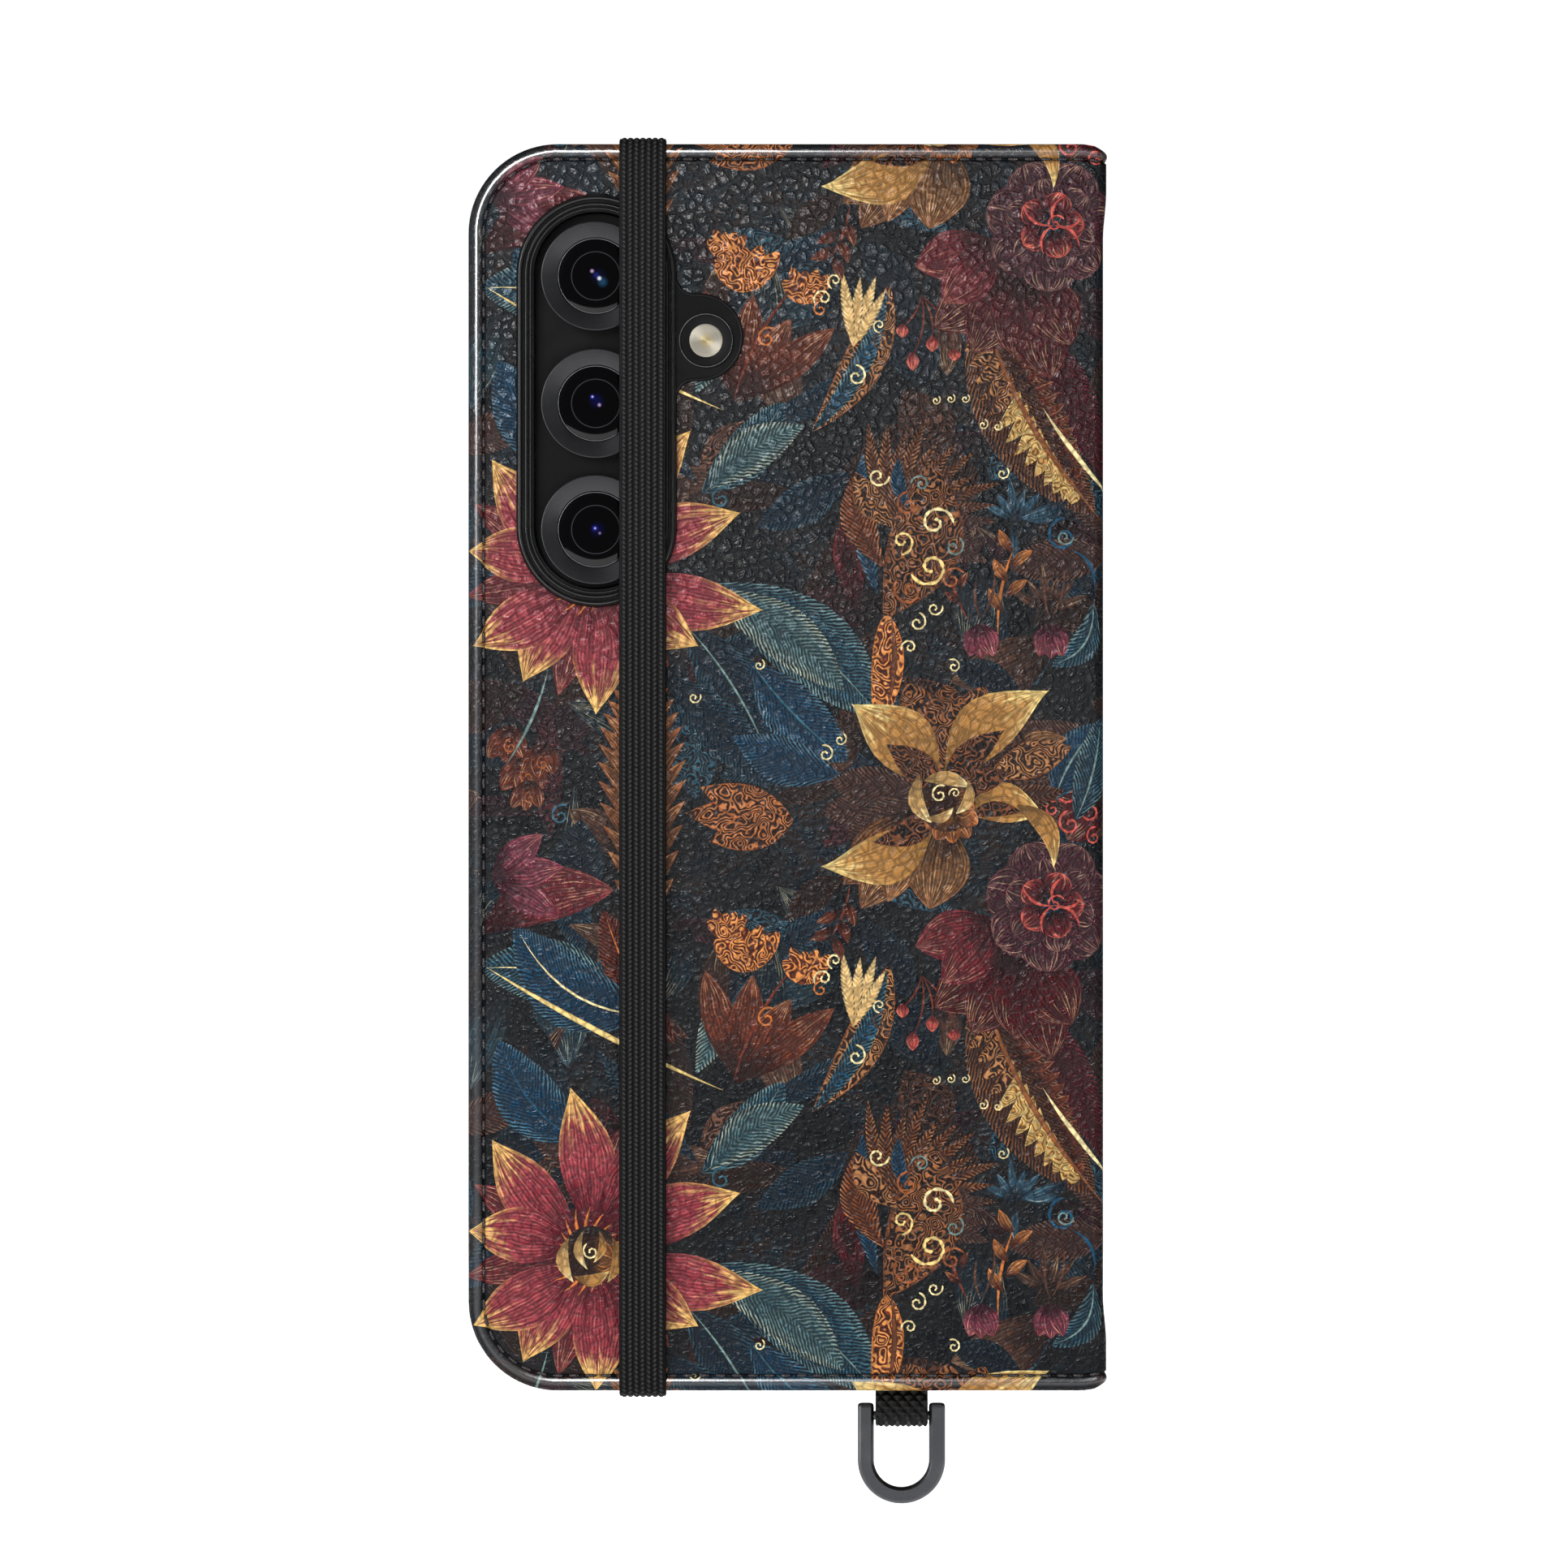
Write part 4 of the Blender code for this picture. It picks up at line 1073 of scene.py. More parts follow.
def skin_sheet(name, side):
    """Cuts and lays one half of the skin, and writes the print's numbers on its corners."""
    points, edges, faces = [], [], []

    def add(outline):
        first = sum(len(p) for p in points)
        points.append(np.asarray(outline, float))
        return list(range(first, first + len(outline)))

    faces.append(add(border_loop(OVERHANG, side)))
    owners = [None]
    reach = (CASE_LEFT - 4, SKIN_MIDDLE) if side < 0 else (SKIN_MIDDLE, SKIN_MIDDLE + SKIN_HALF + 4)
    shifts = [(s, z) for s in (0.0, REPEAT, 2 * REPEAT) for z in (-REPEAT, 0.0, REPEAT, 2 * REPEAT)]
    for entry in blades:
        for shift_s, shift_z in shifts:
            moved = (entry[0] + shift_s, entry[1] + shift_z, *entry[2:])
            outline = blade_outline(moved)
            low, high = outline.min(0), outline.max(0)
            if high[0] < reach[0] or low[0] > reach[1] or high[1] < -BEYOND or low[1] > BEYOND:
                continue
            faces.append(add(outline))
            owners.append(moved)
    hole = -1
    if side < 0:
        hole = len(faces)
        faces.append(add(window_outline(WINDOW_GAP)))
        for grow in (0.15, 0.3, 0.5, 0.8):
            ring = add(window_outline(grow))
            edges += list(zip(ring, ring[1:] + ring[:1]))
    for along in (*PROFILE[0][:-1], -2.6):
        line = add(border_loop(along, side))
        edges += list(zip(line, line[1:]))
    tall = HALF_HEIGHT + OVERHANG
    before = np.arange(CREASE_CUTS, FIRST_CREASE, 0.5)
    round_it = np.linspace(FIRST_CREASE, SPINE_START, 8)
    for s in (*before, *round_it, SPINE_START + 0.6, SPINE_START + 3):
        s = s if side < 0 else 2 * SKIN_MIDDLE - s
        edges.append(tuple(add([[s, -tall], [s, tall]])))
    for z in (*np.arange(63.0, 76.0, 1.0), 75.35, 75.7, 76.0, 76.3, 76.6):
        for sign in (-1, 1):
            inner = CREASE_CUTS - 0.2
            inner = inner if side < 0 else 2 * SKIN_MIDDLE - inner
            edges.append(tuple(add([[inner, sign * z], [SKIN_MIDDLE, sign * z]])))
    flat = np.concatenate(points)
    found = delaunay_2d_cdt([Vector(p) for p in flat.tolist()], edges, faces, 1, 1e-5, True)
    spots = np.array([tuple(v) for v in found[0]])
    kept = [(f, max(o)) for f, o in zip(found[2], found[5]) if o and 0 in o and hole not in o]
    corners = np.array([f for f, _ in kept])
    owner = np.array([o for _, o in kept])
    used, corners = np.unique(corners, return_inverse=True)
    corners = corners.reshape(-1, 3)
    spots = spots[used]
    s, z = spots.T
    gap = from_window(s, z) if side < 0 else np.full(len(s), NO_WINDOW)
    lip = 0.34 * np.clip(1 - gap / 0.8, 0, 1) ** 2
    placed = lay_skin(s, z, lip)
    step = 0.02
    tangent_s = lay_skin(s + step, z, lip) - lay_skin(s - step, z, lip)
    tangent_z = lay_skin(s, z + step, lip) - lay_skin(s, z - step, lip)
    normal = np.cross(tangent_s, tangent_z)
    length = np.linalg.norm(normal, axis=1, keepdims=True)
    normal = np.where(length > 1e-9, normal / np.maximum(length, 1e-9), [0, side, 0])
    piece = new_piece(name, placed, corners)
    write_print(piece, spots, corners, owner, owners)
    away = to_border(s, z)[0]
    groove = np.clip(1 - np.abs(away + STITCH_INSET) / (GROOVE_HALF + 0.1), 0, 1)
    mark_points(piece, "groove", groove)
    mark_points(piece, "bead", np.exp(-(((away + 0.72) / 0.42) ** 2)))
    piece.data.normals_split_custom_set_from_vertices(normal.tolist())
    print(name, len(owners), "figures,", len(corners), "triangles")
    return piece


def write_print(piece, spots, corners, owner, owners):
    """Writes, on each corner, where it lies in its blade, the blade's form and its three inks."""
    rows = np.zeros((len(owners), 18))
    for number, entry in enumerate(owners):
        if entry is None:
            entry = (0, 0, 0.0, 10.0, 10.1, "ground", GROUND, 0.0, 1.0, 1.0)
        x, z, angle, length, half, ink, kind, bend, fullness, point = entry
        seed = (number * 0.37) % 9.0
        inks = [rgb(*c)[:3] for c in INKS[ink]]
        rows[number] = [x, z, angle, length, half / length, bend, fullness, point, seed, *np.ravel(inks)]
    mine = rows[owner]
    kinds = np.array([GROUND if e is None else e[6] for e in owners], float)[owner]
    away = spots[corners] - mine[:, None, :2]
    cos, sin = np.cos(mine[:, 2])[:, None], np.sin(mine[:, 2])[:, None]
    length = mine[:, 3][:, None]
    along = (away[..., 0] * cos + away[..., 1] * sin) / length
    across = (away[..., 1] * cos - away[..., 0] * sin) / length
    kinds = np.broadcast_to(kinds[:, None], along.shape)
    numbers = {"place": np.stack([along, across, kinds], -1)}
    for title, columns in (
        ("form", (4, 5, 6)),
        ("trade", (3, 7, 8)),
        ("ink_a", (9, 10, 11)),
        ("ink_b", (12, 13, 14)),
        ("ink_line", (15, 16, 17)),
    ):
        numbers[title] = np.repeat(mine[:, columns][:, None], 3, 1)
    for title, values in numbers.items():
        layer = piece.data.attributes.new(title, "FLOAT_VECTOR", "CORNER")
        layer.data.foreach_set("vector", values.astype(np.float32).ravel())


# %% [markdown]
# The print's shader. A blade's width at each point is worked out again from its form, which
# gives how far across the blade a point lies, from -1 to 1. Petals get lines along them that
# meet at both ends, feathers get slanted barbs and a frayed edge, scrolls get rings round
# scattered centres, and discs get rings round their own.

# %% The print's shader


def make_print_group():
    """Colour of the print from a blade's coordinates, form and inks."""
    zero = (0.0, 0.0, 0.0)
    black = (0.0, 0.0, 0.0, 1.0)
    tree, given, put = group(
        "print inks",
        {"Place": zero, "Form": zero, "Trade": zero, "Ink A": black, "Ink B": black, "Ink Line": black},
        {"Colour": "NodeSocketColor"},
    )

    def m(operation, *values):
        return calc(tree, operation, *values)

    def mul(first, second):
        return times(tree, first, second)

    def add(first, second):
        return plus(tree, first, second)

    def join(first, second, third):
        return node(tree, "ShaderNodeCombineXYZ", {0: first, 1: second, 2: third}).outputs[0]

    def parts(socket):
        return node(tree, "ShaderNodeSeparateXYZ", {0: socket}).outputs

    along, across, kind = parts(given["Place"])
    half, bend, fullness = parts(given["Form"])
    length, point, seed = parts(given["Trade"])
    u = m("MINIMUM", m("MAXIMUM", along, 0.0), 1.0)
    arch = m("MAXIMUM", m("SINE", mul(m("POWER", u, fullness), math.pi)), 0.002)
    width = mul(half, m("POWER", arch, point))
    middle = mul(mul(bend, 4.0), mul(u, m("SUBTRACT", 1.0, u)))
    off = m("SUBTRACT", across, middle)
    share = m("MAXIMUM", m("MINIMUM", m("DIVIDE", off, width), 1.2), -1.2)
    side = m("ABSOLUTE", share)
    long_mm = mul(along, length)
    cross_mm = mul(across, length)
    half_mm = mul(half, length)
    depth = mul(seed, 5.3)
    flat = join(long_mm, cross_mm, depth)
    streaky = join(mul(long_mm, 0.35), mul(mul(share, half_mm), 1.9), depth)
    streak = noise(tree, streaky, 1.0, 2.0)
    wobble = noise(tree, flat, 0.45, 2.0)
    cloud = noise(tree, flat, 0.16, 2.0)
    ink_a, ink_b, ink_line = given["Ink A"], given["Ink B"], given["Ink Line"]

    # petals
    lines = wave(tree, add(mul(mul(share, half_mm), 2.2), mul(wobble, 1.6)))
    bright = mul(ease(tree, lines, 0.3, 0.9), ease(tree, streak, 0.42, 0.66))
    dark = mul(ease(tree, lines, -0.3, -0.95), ease(tree, streak, 0.66, 0.4))
    warm = add(u, add(mul(m("SUBTRACT", streak, 0.5), 0.9), mul(side, 0.04)))
    tip = ease(tree, warm, 0.64, 1.02)
    petal = mix(tree, tip, ink_a, ink_b)
    middle_tone = mix(tree, 0.2, ink_a, ink_line)
    petal = mix(tree, mul(ease(tree, warm, 0.15, 0.55), m("SUBTRACT", 1.0, tip)), petal, middle_tone)
    petal = mix(tree, mul(bright, 0.55), petal, mix(tree, mul(tip, 0.7), ink_line, rgb(255, 236, 176)))
    petal = mix(tree, mul(dark, 0.74), petal, mix(tree, 0.72, ink_a, black))
    rim = ease(tree, side, 0.8, 0.97)
    petal = mix(tree, mul(rim, ease(tree, u, 0.5, 0.9, 0.0, 0.55)), petal, ink_b)
    root = ease(tree, u, 0.1, 0.62, 0.22, 1.0)
    petal = mix(tree, root, mix(tree, 0.8, ink_a, black), petal)

    # feathers
    slant = mul(m("ABSOLUTE", off), 1.25)
    barb = wave(tree, add(mul(mul(m("SUBTRACT", along, slant), length), 1.55), mul(wobble, 2.2)))
    lit = mul(ease(tree, barb, -0.2, 0.9), ease(tree, streak, 0.2, 0.62))
    tone = add(mul(u, 0.5), mul(side, 0.5))
    upper = ease(tree, add(tone, mul(cloud, 0.6)), 0.25, 1.15, 0.15, 1.0)
    feather = mix(tree, mul(lit, upper), ink_a, ink_b)
    feather = mix(tree, mul(mul(lit, ease(tree, add(side, cloud), 1.0, 1.5)), 0.6), feather, ink_line)
    fray = mul(ease(tree, side, 0.55, 0.98), ease(tree, barb, 0.35, -0.4))
    feather = mix(tree, mul(fray, 0.9), feather, rgb(8, 16, 25))

    # scrolls
    cells = {"Vector": flat, "Scale": 0.6, "Randomness": 0.85}
    spots = node(tree, "ShaderNodeTexVoronoi", cells).outputs["Distance"]
    flow = noise(tree, flat, 0.4, 1.5)
    rings = wave(tree, add(mul(spots, 0.8), add(mul(flow, 13.0), mul(cross_mm, 0.5))))
    line = ease(tree, rings, 0.05, 0.6)
    scroll = mix(tree, line, ink_a, mix(tree, cloud, ink_b, ink_line))
    outline = mul(ease(tree, side, 0.84, 0.94), ease(tree, cloud, 0.3, 0.5))
    scroll = mix(tree, outline, scroll, ink_b)
    scroll = mix(tree, ease(tree, rings, -0.45, -0.9, 0.0, 0.75), scroll, rgb(22, 12, 10))

    # stems, discs and the ground
    stem = mix(tree, ease(tree, side, 0.2, 1.0), ink_b, mix(tree, 0.5, ink_a, ink_b))
    reach = reach_of(tree, along, across)
    hoop = wave(tree, add(mul(reach, 2.0), mul(wobble, 0.5)))
    disc_ink = mix(tree, ease(tree, hoop, -0.1, 0.5), ink_a, ink_b)
    disc_ink = mix(tree, ease(tree, reach, 0.86, 0.93), disc_ink, ink_line)
    shade = ease(tree, noise(tree, flat, 0.055, 3.0), 0.42, 0.68)
    ground = mix(tree, shade, ink_a, mix(tree, ease(tree, wobble, 0.35, 0.65), ink_b, ink_line))
    hair = wave(tree, add(mul(cross_mm, 1.1), mul(cloud, 9.0)))
    ground = mix(tree, mul(ease(tree, hair, 0.5, 1.0), mul(shade, 0.35)), ground, rgb(52, 74, 82))

    colour = petal
    others = ((FEATHER, feather), (SCROLL, scroll), (STEM, stem), (DISC, disc_ink), (GROUND, ground))
    for number, made in others:
        chosen = m("COMPARE", kind, float(number), 0.4)
        colour = mix(tree, chosen, colour, made)
    tree.links.new(colour, put["Colour"])
    return tree


print_inks = make_print_group()


def make_printed_leather():
    """Printed leather: the print, dimmed, with painted shade in the grain's valleys and the
    groove, over pebble grain. On the padded edge the grain is pressed flatter, a clear coat lies
    on it, and a faint painted highlight lightens its colour."""
    material, tree, shader = new_material("printed leather", Specular_IOR_Level=0.1, Coat_Roughness=0.2)

    def read(title):
        return node(tree, "ShaderNodeAttribute", attribute_name=title).outputs["Vector"]

    def read_colour(title):
        return node(tree, "ShaderNodeAttribute", attribute_name=title).outputs["Color"]

    inks = use(
        tree, print_inks, Place=read("place"), Form=read("form"), Trade=read("trade"),
        Ink_A=read_colour("ink_a"), Ink_B=read_colour("ink_b"), Ink_Line=read_colour("ink_line"),
    )
    pebbles = use(tree, grain, Cells=780.0, Warp=0.001)
    worn = use(tree, wear, Scale=45.0)
    # painted shade: the whole print is dimmed a little, and more in the grain's valleys, where shade
    # would fall
    deep = plus(tree, 0.2, times(tree, pebbles["Valley"], 0.36))
    colour = mix(tree, deep, inks["Colour"], rgb(3, 4, 6))
    colour = mix(tree, times(tree, worn["Mask"], 0.02), colour, rgb(120, 112, 106))
    # painted shade: the stitch groove is darkened nearly to black
    groove = point_value(tree, "groove")
    colour = mix(tree, times(tree, groove, 0.72), colour, rgb(4, 4, 6))
    # painted highlight: the padded edge's colour is lifted a little towards pale grey
    bead = point_value(tree, "bead")
    colour = mix(tree, times(tree, bead, 0.05), colour, rgb(150, 152, 158))
    feed(shader, "Base Color", colour)
    rough = plus(tree, 0.25, times(tree, pebbles["Valley"], 0.3))
    rough = plus(tree, rough, times(tree, worn["Mask"], 0.06))
    feed(shader, "Roughness", rough)
    feed(shader, "Coat Weight", ease(tree, bead, 0.1, 1.0, 0.0, 1.0))
    height = times(tree, pebbles["Height"], ease(tree, bead, 0.0, 1.0, 1.0, 0.35))
    bump(tree, shader, height, 0.11)
    return material


printed_leather = make_printed_leather()
back_sheet = skin_sheet("back_sheet", -1)
front_sheet = skin_sheet("front_sheet", 1)

# the haze lamp lights the skin and, later, the band, and nothing else
hazed = bpy.data.collections.new("haze falls on")
for sheet in (back_sheet, front_sheet):
    hazed.objects.link(sheet)
haze.light_linking.receiver_collection = hazed


def bend(piece, side, material, slot, *old):
    """Finishes a piece that lies over a crease: its material, the nodes it replaces, and its place baked
    into its mesh; slot is not used.
    """
    piece.data.materials.append(material)
    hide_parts(*old)
    if side < 0:
        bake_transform(piece)
    else:
        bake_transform(piece)


bend(back_sheet, -1, printed_leather, "printed_skin", "back_skin", "spine_skin")
bend(front_sheet, 1, printed_leather, "printed_skin", "front_skin")

# %% [markdown]
# The stitches. A dark thread shows as short plump dashes in the groove, two millimetres apart,
# whose ends dive into the needle holes. They could be one bumpy line, but separate dashes give
# the light and dark rhythm that tells the eye it is sewn. All of them are one grid of numbers:
# stitch, station along it, and turn round the thread.

# %% Stitches
STITCH_PITCH, THREAD, STITCH_END = 2.0, 0.21, 39.4


def along_line(line, distances):
    """Points and directions at these distances along a polyline."""
    step = np.diff(line, axis=0)
    size = np.linalg.norm(step, axis=1)
    total = np.concatenate([[0], np.cumsum(size)])
    number = np.clip(np.searchsorted(total, distances, side="right") - 1, 0, len(size) - 1)
    share = (distances - total[number]) / size[number]
    return line[number] + share[..., None] * step[number], step[number] / size[number][..., None]


def stitch_run(name, side):
    """Dashes along the groove: thickness falls to nothing at both ends, where they also sink."""
    line = border_loop(-STITCH_INSET, side)
    line[[0, -1], 0] = STITCH_END if side < 0 else 2 * SKIN_MIDDLE - STITCH_END
    total = np.linalg.norm(np.diff(line, axis=0), axis=1).sum()
    count = int(round(total / STITCH_PITCH))
    share = np.linspace(0, 1, 8)
    starts = np.arange(count)[:, None]
    place, way = along_line(line, (starts + 0.1 + 0.8 * share) * total / count)
    out = np.stack([way[..., 1], -way[..., 0]], -1)
    turn = np.linspace(0, 2 * np.pi, 7)[:-1]
    thick = THREAD * np.sin(np.pi * share) ** 0.4
    sunk = 0.14 + 0.3 * (2 * share - 1) ** 4
    across = thick[:, None] * np.cos(turn)
    depth = sunk[:, None] - thick[:, None] * np.sin(turn)
    flat = place[:, :, None] + across[None, :, :, None] * out[:, :, None]
    depth = np.broadcast_to(depth, flat.shape[:3])
    points = lay(flat[..., 0].ravel(), flat[..., 1].ravel(), depth.ravel())
    one = grid_faces(8, 6, False, True)
    faces = (one[None] + np.arange(count)[:, None, None] * 48).reshape(-1, 4)
    piece = new_piece(name, points, faces)
    around = np.broadcast_to(turn / 6.28, (count, 8, 6))
    set_uv(piece, np.stack([np.broadcast_to((starts + share)[:, :, None], around.shape), around], -1))
    print(name, count, "stitches over", round(total, 1), "mm")
    return close_up(piece, 80)


def make_thread():
    """Waxed polyester thread: a two-ply twist along the dash, dark, with painted highlights on the
    ply tops and a few pale fibres.
    """
    material, tree, shader = new_material("waxed thread", Roughness=0.5, Specular_IOR_Level=0.4)
    along, around = uv_place(tree)
    ply = wave(tree, plus(tree, times(tree, along, 5.0), around))
    fibres = noise(tree, object_place(tree), 5200.0, 2.0)
    # painted highlight and shade: the ply tops are lighter, the gaps between them darker
    twist = ease(tree, ply, -0.6, 0.7)
    colour = mix(tree, twist, rgb(12, 10, 12), rgb(52, 46, 48))
    colour = mix(tree, ease(tree, fibres, 0.55, 0.75), colour, rgb(112, 100, 98))
    feed(shader, "Base Color", colour)
    bump(tree, shader, twist, 0.05)
    return material


thread = make_thread()
bend(stitch_run("back_stitches", -1), -1, thread, "thread", "back_stitching")
bend(stitch_run("front_stitches", 1), 1, thread, "thread", "front_stitching")

# %% [markdown]
# The lining faces the phone. It is one soft sheet over each crease too, so that the book
# opens without a gap: straight along the cover, a small quarter circle into the spine, and up
# the spine to its middle. At each station along that line the sheet is as high as the rounded
# cover allows. Solidify gives it its thickness.

# %% Linings
LINING_INSET, LINING, LINING_BEND = 0.75, 0.5, 36.9
back_inner = BACK_FACE + THICKNESS
front_inner = FRONT_FACE - THICKNESS


def lining_sheet(name, side):
    """A sheet z = v * height(s) along the lining's line, with v from -1 to 1."""
    inner = back_inner if side < 0 else front_inner
    radius = CORNER - LINING_INSET
    left = CASE_LEFT + LINING_INSET
    near = left + radius * (1 - np.cos(np.linspace(0, np.pi / 2, 18)))
    x = np.concatenate([near, np.linspace(near[-1] + 1, LINING_BEND, 26)])
    y = np.full(len(x), inner)
    top = HALF_HEIGHT - LINING_INSET
    cut = np.clip(radius - (x - left), 0, radius)
    high = top - radius + np.sqrt(radius**2 - cut**2)
    turn = np.linspace(0, np.pi / 2, 6)[1:]
    bend = 0.55
    rise = np.linspace(inner - side * bend, MIDDLE_Y, 9)[1:]
    x = np.concatenate([x, LINING_BEND + bend * np.sin(turn), np.full(8, LINING_BEND + bend)])
    y = np.concatenate([y, inner - side * bend * (1 - np.cos(turn)), rise])
    high = np.concatenate([high, np.full(13, top)])
    v = np.linspace(-1, 1, 41)
    points = np.stack(np.broadcast_arrays(x[:, None], y[:, None], high[:, None] * v), -1)
    faces = grid_faces(len(x), len(v))
    piece = new_piece(name, points, faces if side < 0 else faces[:, ::-1])
    wall = piece.modifiers.new("thickness", "SOLIDIFY")
    wall.thickness = LINING * MM
    wall.offset = -1.0
    return piece


def make_lining():
    """Short-napped microfibre: charcoal, with a fine brushed nap that lies in slow patches."""
    material, tree, shader = new_material(
        "microfibre lining", Roughness=0.85, Sheen_Weight=0.35, Sheen_Roughness=0.5
    )
    place = object_place(tree)
    nap = noise(tree, long_place(tree, place, 0.3), 3800.0, 3.0)
    brushed = ease(tree, noise(tree, place, 60.0, 3.0), 0.35, 0.7)
    colour = mix(tree, nap, rgb(22, 22, 25), rgb(52, 51, 54))
    colour = mix(tree, times(tree, brushed, 0.3), colour, rgb(66, 65, 69))
    feed(shader, "Base Color", colour)
    bump(tree, shader, nap, 0.04)
    return material


lining = make_lining()
back_lining = lining_sheet("back_lining_sheet", -1)
bend(back_lining, -1, lining, "lining", "back_lining", "spine_lining")
bend(lining_sheet("front_lining_sheet", 1), 1, lining, "lining", "front_lining")

# %% [markdown]
# Card slots, the note pocket and the phone tray are right in shape already, so they are merged
# copies of the CAD solids with softened edges. The pockets are plain grained leather, dyed
# nearly black, and the tray is matte moulded rubber with a fine tooth. The stiff boards stay as
# they are, out of sight, and get the speckle of greyboard.

# %% Pockets, tray, keys and boards


def ride(piece, body, slot, material, *nodes):
    """Finishes a piece: its material, its body and the nodes it replaces; slot is not used."""
    piece.data.materials.append(material)
    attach(piece, body)
    if nodes:
        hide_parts(*nodes)
    return piece


def refinish(old, material):
    """Gives a CAD solid that stays as it is a new material."""
    mesh = frame["nodes"][old].data
    mesh.materials.clear()
    mesh.materials.append(material)


def make_pocket_leather():
    """Near-black grained leather with painted shade in its valleys and worn, slightly lighter patches."""
    material, tree, shader = new_material("pocket leather", Specular_IOR_Level=0.4)
    pebbles = use(tree, grain, Cells=900.0, Warp=0.0009)
    worn = use(tree, wear, Scale=80.0)
    # painted shade: the grain's valleys are darker
    colour = mix(tree, pebbles["Valley"], rgb(34, 32, 34), rgb(10, 10, 12))
    colour = mix(tree, times(tree, worn["Mask"], 0.22), colour, rgb(92, 84, 80))
    feed(shader, "Base Color", colour)
    feed(shader, "Roughness", ease(tree, pebbles["Valley"], 0.0, 1.0, 0.42, 0.7))
    bump(tree, shader, pebbles["Height"], 0.12)
    return material


def make_rubber(name, dark, light, scale, depth, rough):
    """Matte moulded plastic: a fine tooth from the mould, and faint wear."""
    material, tree, shader = new_material(name, Specular_IOR_Level=0.35)
    fine = use(tree, tooth, Scale=scale)["Height"]
    worn = use(tree, wear, Scale=70.0)["Mask"]
    colour = mix(tree, fine, dark, light)
    colour = mix(tree, times(tree, worn, 0.12), colour, rgb(90, 90, 92))
    feed(shader, "Base Color", colour)
    feed(shader, "Roughness", ease(tree, fine, 0.0, 1.0, rough - 0.08, rough + 0.08))
    bump(tree, shader, fine, depth)
    return material


def make_greyboard():
    """Pressed paper board: brown-grey with darker flecks and cut fibres."""
    material, tree, shader = new_material("greyboard", Roughness=0.9)
    place = object_place(tree)
    flecks = ease(tree, noise(tree, place, 1500.0, 3.0), 0.55, 0.7)
    fibre = noise(tree, long_place(tree, place, 0.2), 2600.0)
    colour = mix(tree, fibre, rgb(120, 112, 100), rgb(158, 150, 136))
    feed(shader, "Base Color", mix(tree, flecks, colour, rgb(82, 74, 66)))
    bump(tree, shader, fibre, 0.05)
    return material


pocket_leather = make_pocket_leather()
tray_rubber = make_rubber("tray rubber", rgb(16, 16, 17), rgb(34, 34, 36), 3600.0, 0.03, 0.56)
key_plastic = make_rubber("key plastic", rgb(20, 20, 21), rgb(30, 30, 32), 5200.0, 0.012, 0.38)
tape_film = make_rubber("bonding film", rgb(58, 58, 60), rgb(84, 84, 86), 1800.0, 0.02, 0.3)
greyboard = make_greyboard()
for old in ("card_pocket_1", "card_pocket_2", "card_pocket_3", "cash_pocket"):
    ride(smooth_copy(old + "_leather", old, 0.12), "front_cover", "pocket_skin", pocket_leather, old)
for name, old, bevel, body, material in (
    ("tray_shell", "phone_tray", 0.22, "back", tray_rubber),
    ("volume_cap", "volume_button", 0.25, "volume_key", key_plastic),
    ("power_cap", "power_button", 0.25, "power_key", key_plastic),
):
    ride(smooth_copy(name, old, bevel), body, "moulded_tray", material, old)
refinish("tray_tape", tape_film)
for old in ("back_board", "front_board", "spine_board"):
    refinish(old, greyboard)

# %% [markdown]
# The elastic band is woven: seven corded ribs run along it, each a string of slanted beads
# where the yarn turns over, with a firm rolled edge on both sides. The height of the cloth is
# worked out from those numbers, so the ribs are real geometry. The band rounds over the cover's
# two ends and is tucked in behind the tray. It is made as two halves that meet at mid height.

# %% Elastic band
band_low, band_high = box("band_strap")
BAND_LEFT, BAND_RIGHT = float(band_low[0]), float(band_high[0])
BAND_OUT, BAND_IN = float(band_low[1]), float(band_high[1])
BAND_THICK = BAND_IN - BAND_OUT
RIBS, BEAD, BAND_SELVAGE = 7, 0.57, 0.24


def rounded_line(points, radius, steps=7):
    """A polyline whose inner corners are swapped for short curves that start radius away."""
    points = np.array(points, float)
    share = np.linspace(0, 1, steps)[:, None]
    made = [points[:1]]
    for before, corner, after in zip(points[:-2], points[1:-1], points[2:]):
        back, on = before - corner, after - corner
        start = corner + back * min(radius / np.linalg.norm(back), 0.45)
        stop = corner + on * min(radius / np.linalg.norm(on), 0.45)
        made.append((1 - share) ** 2 * start + 2 * share * (1 - share) * corner + share**2 * stop)
    return np.concatenate([*made, points[-1:]])


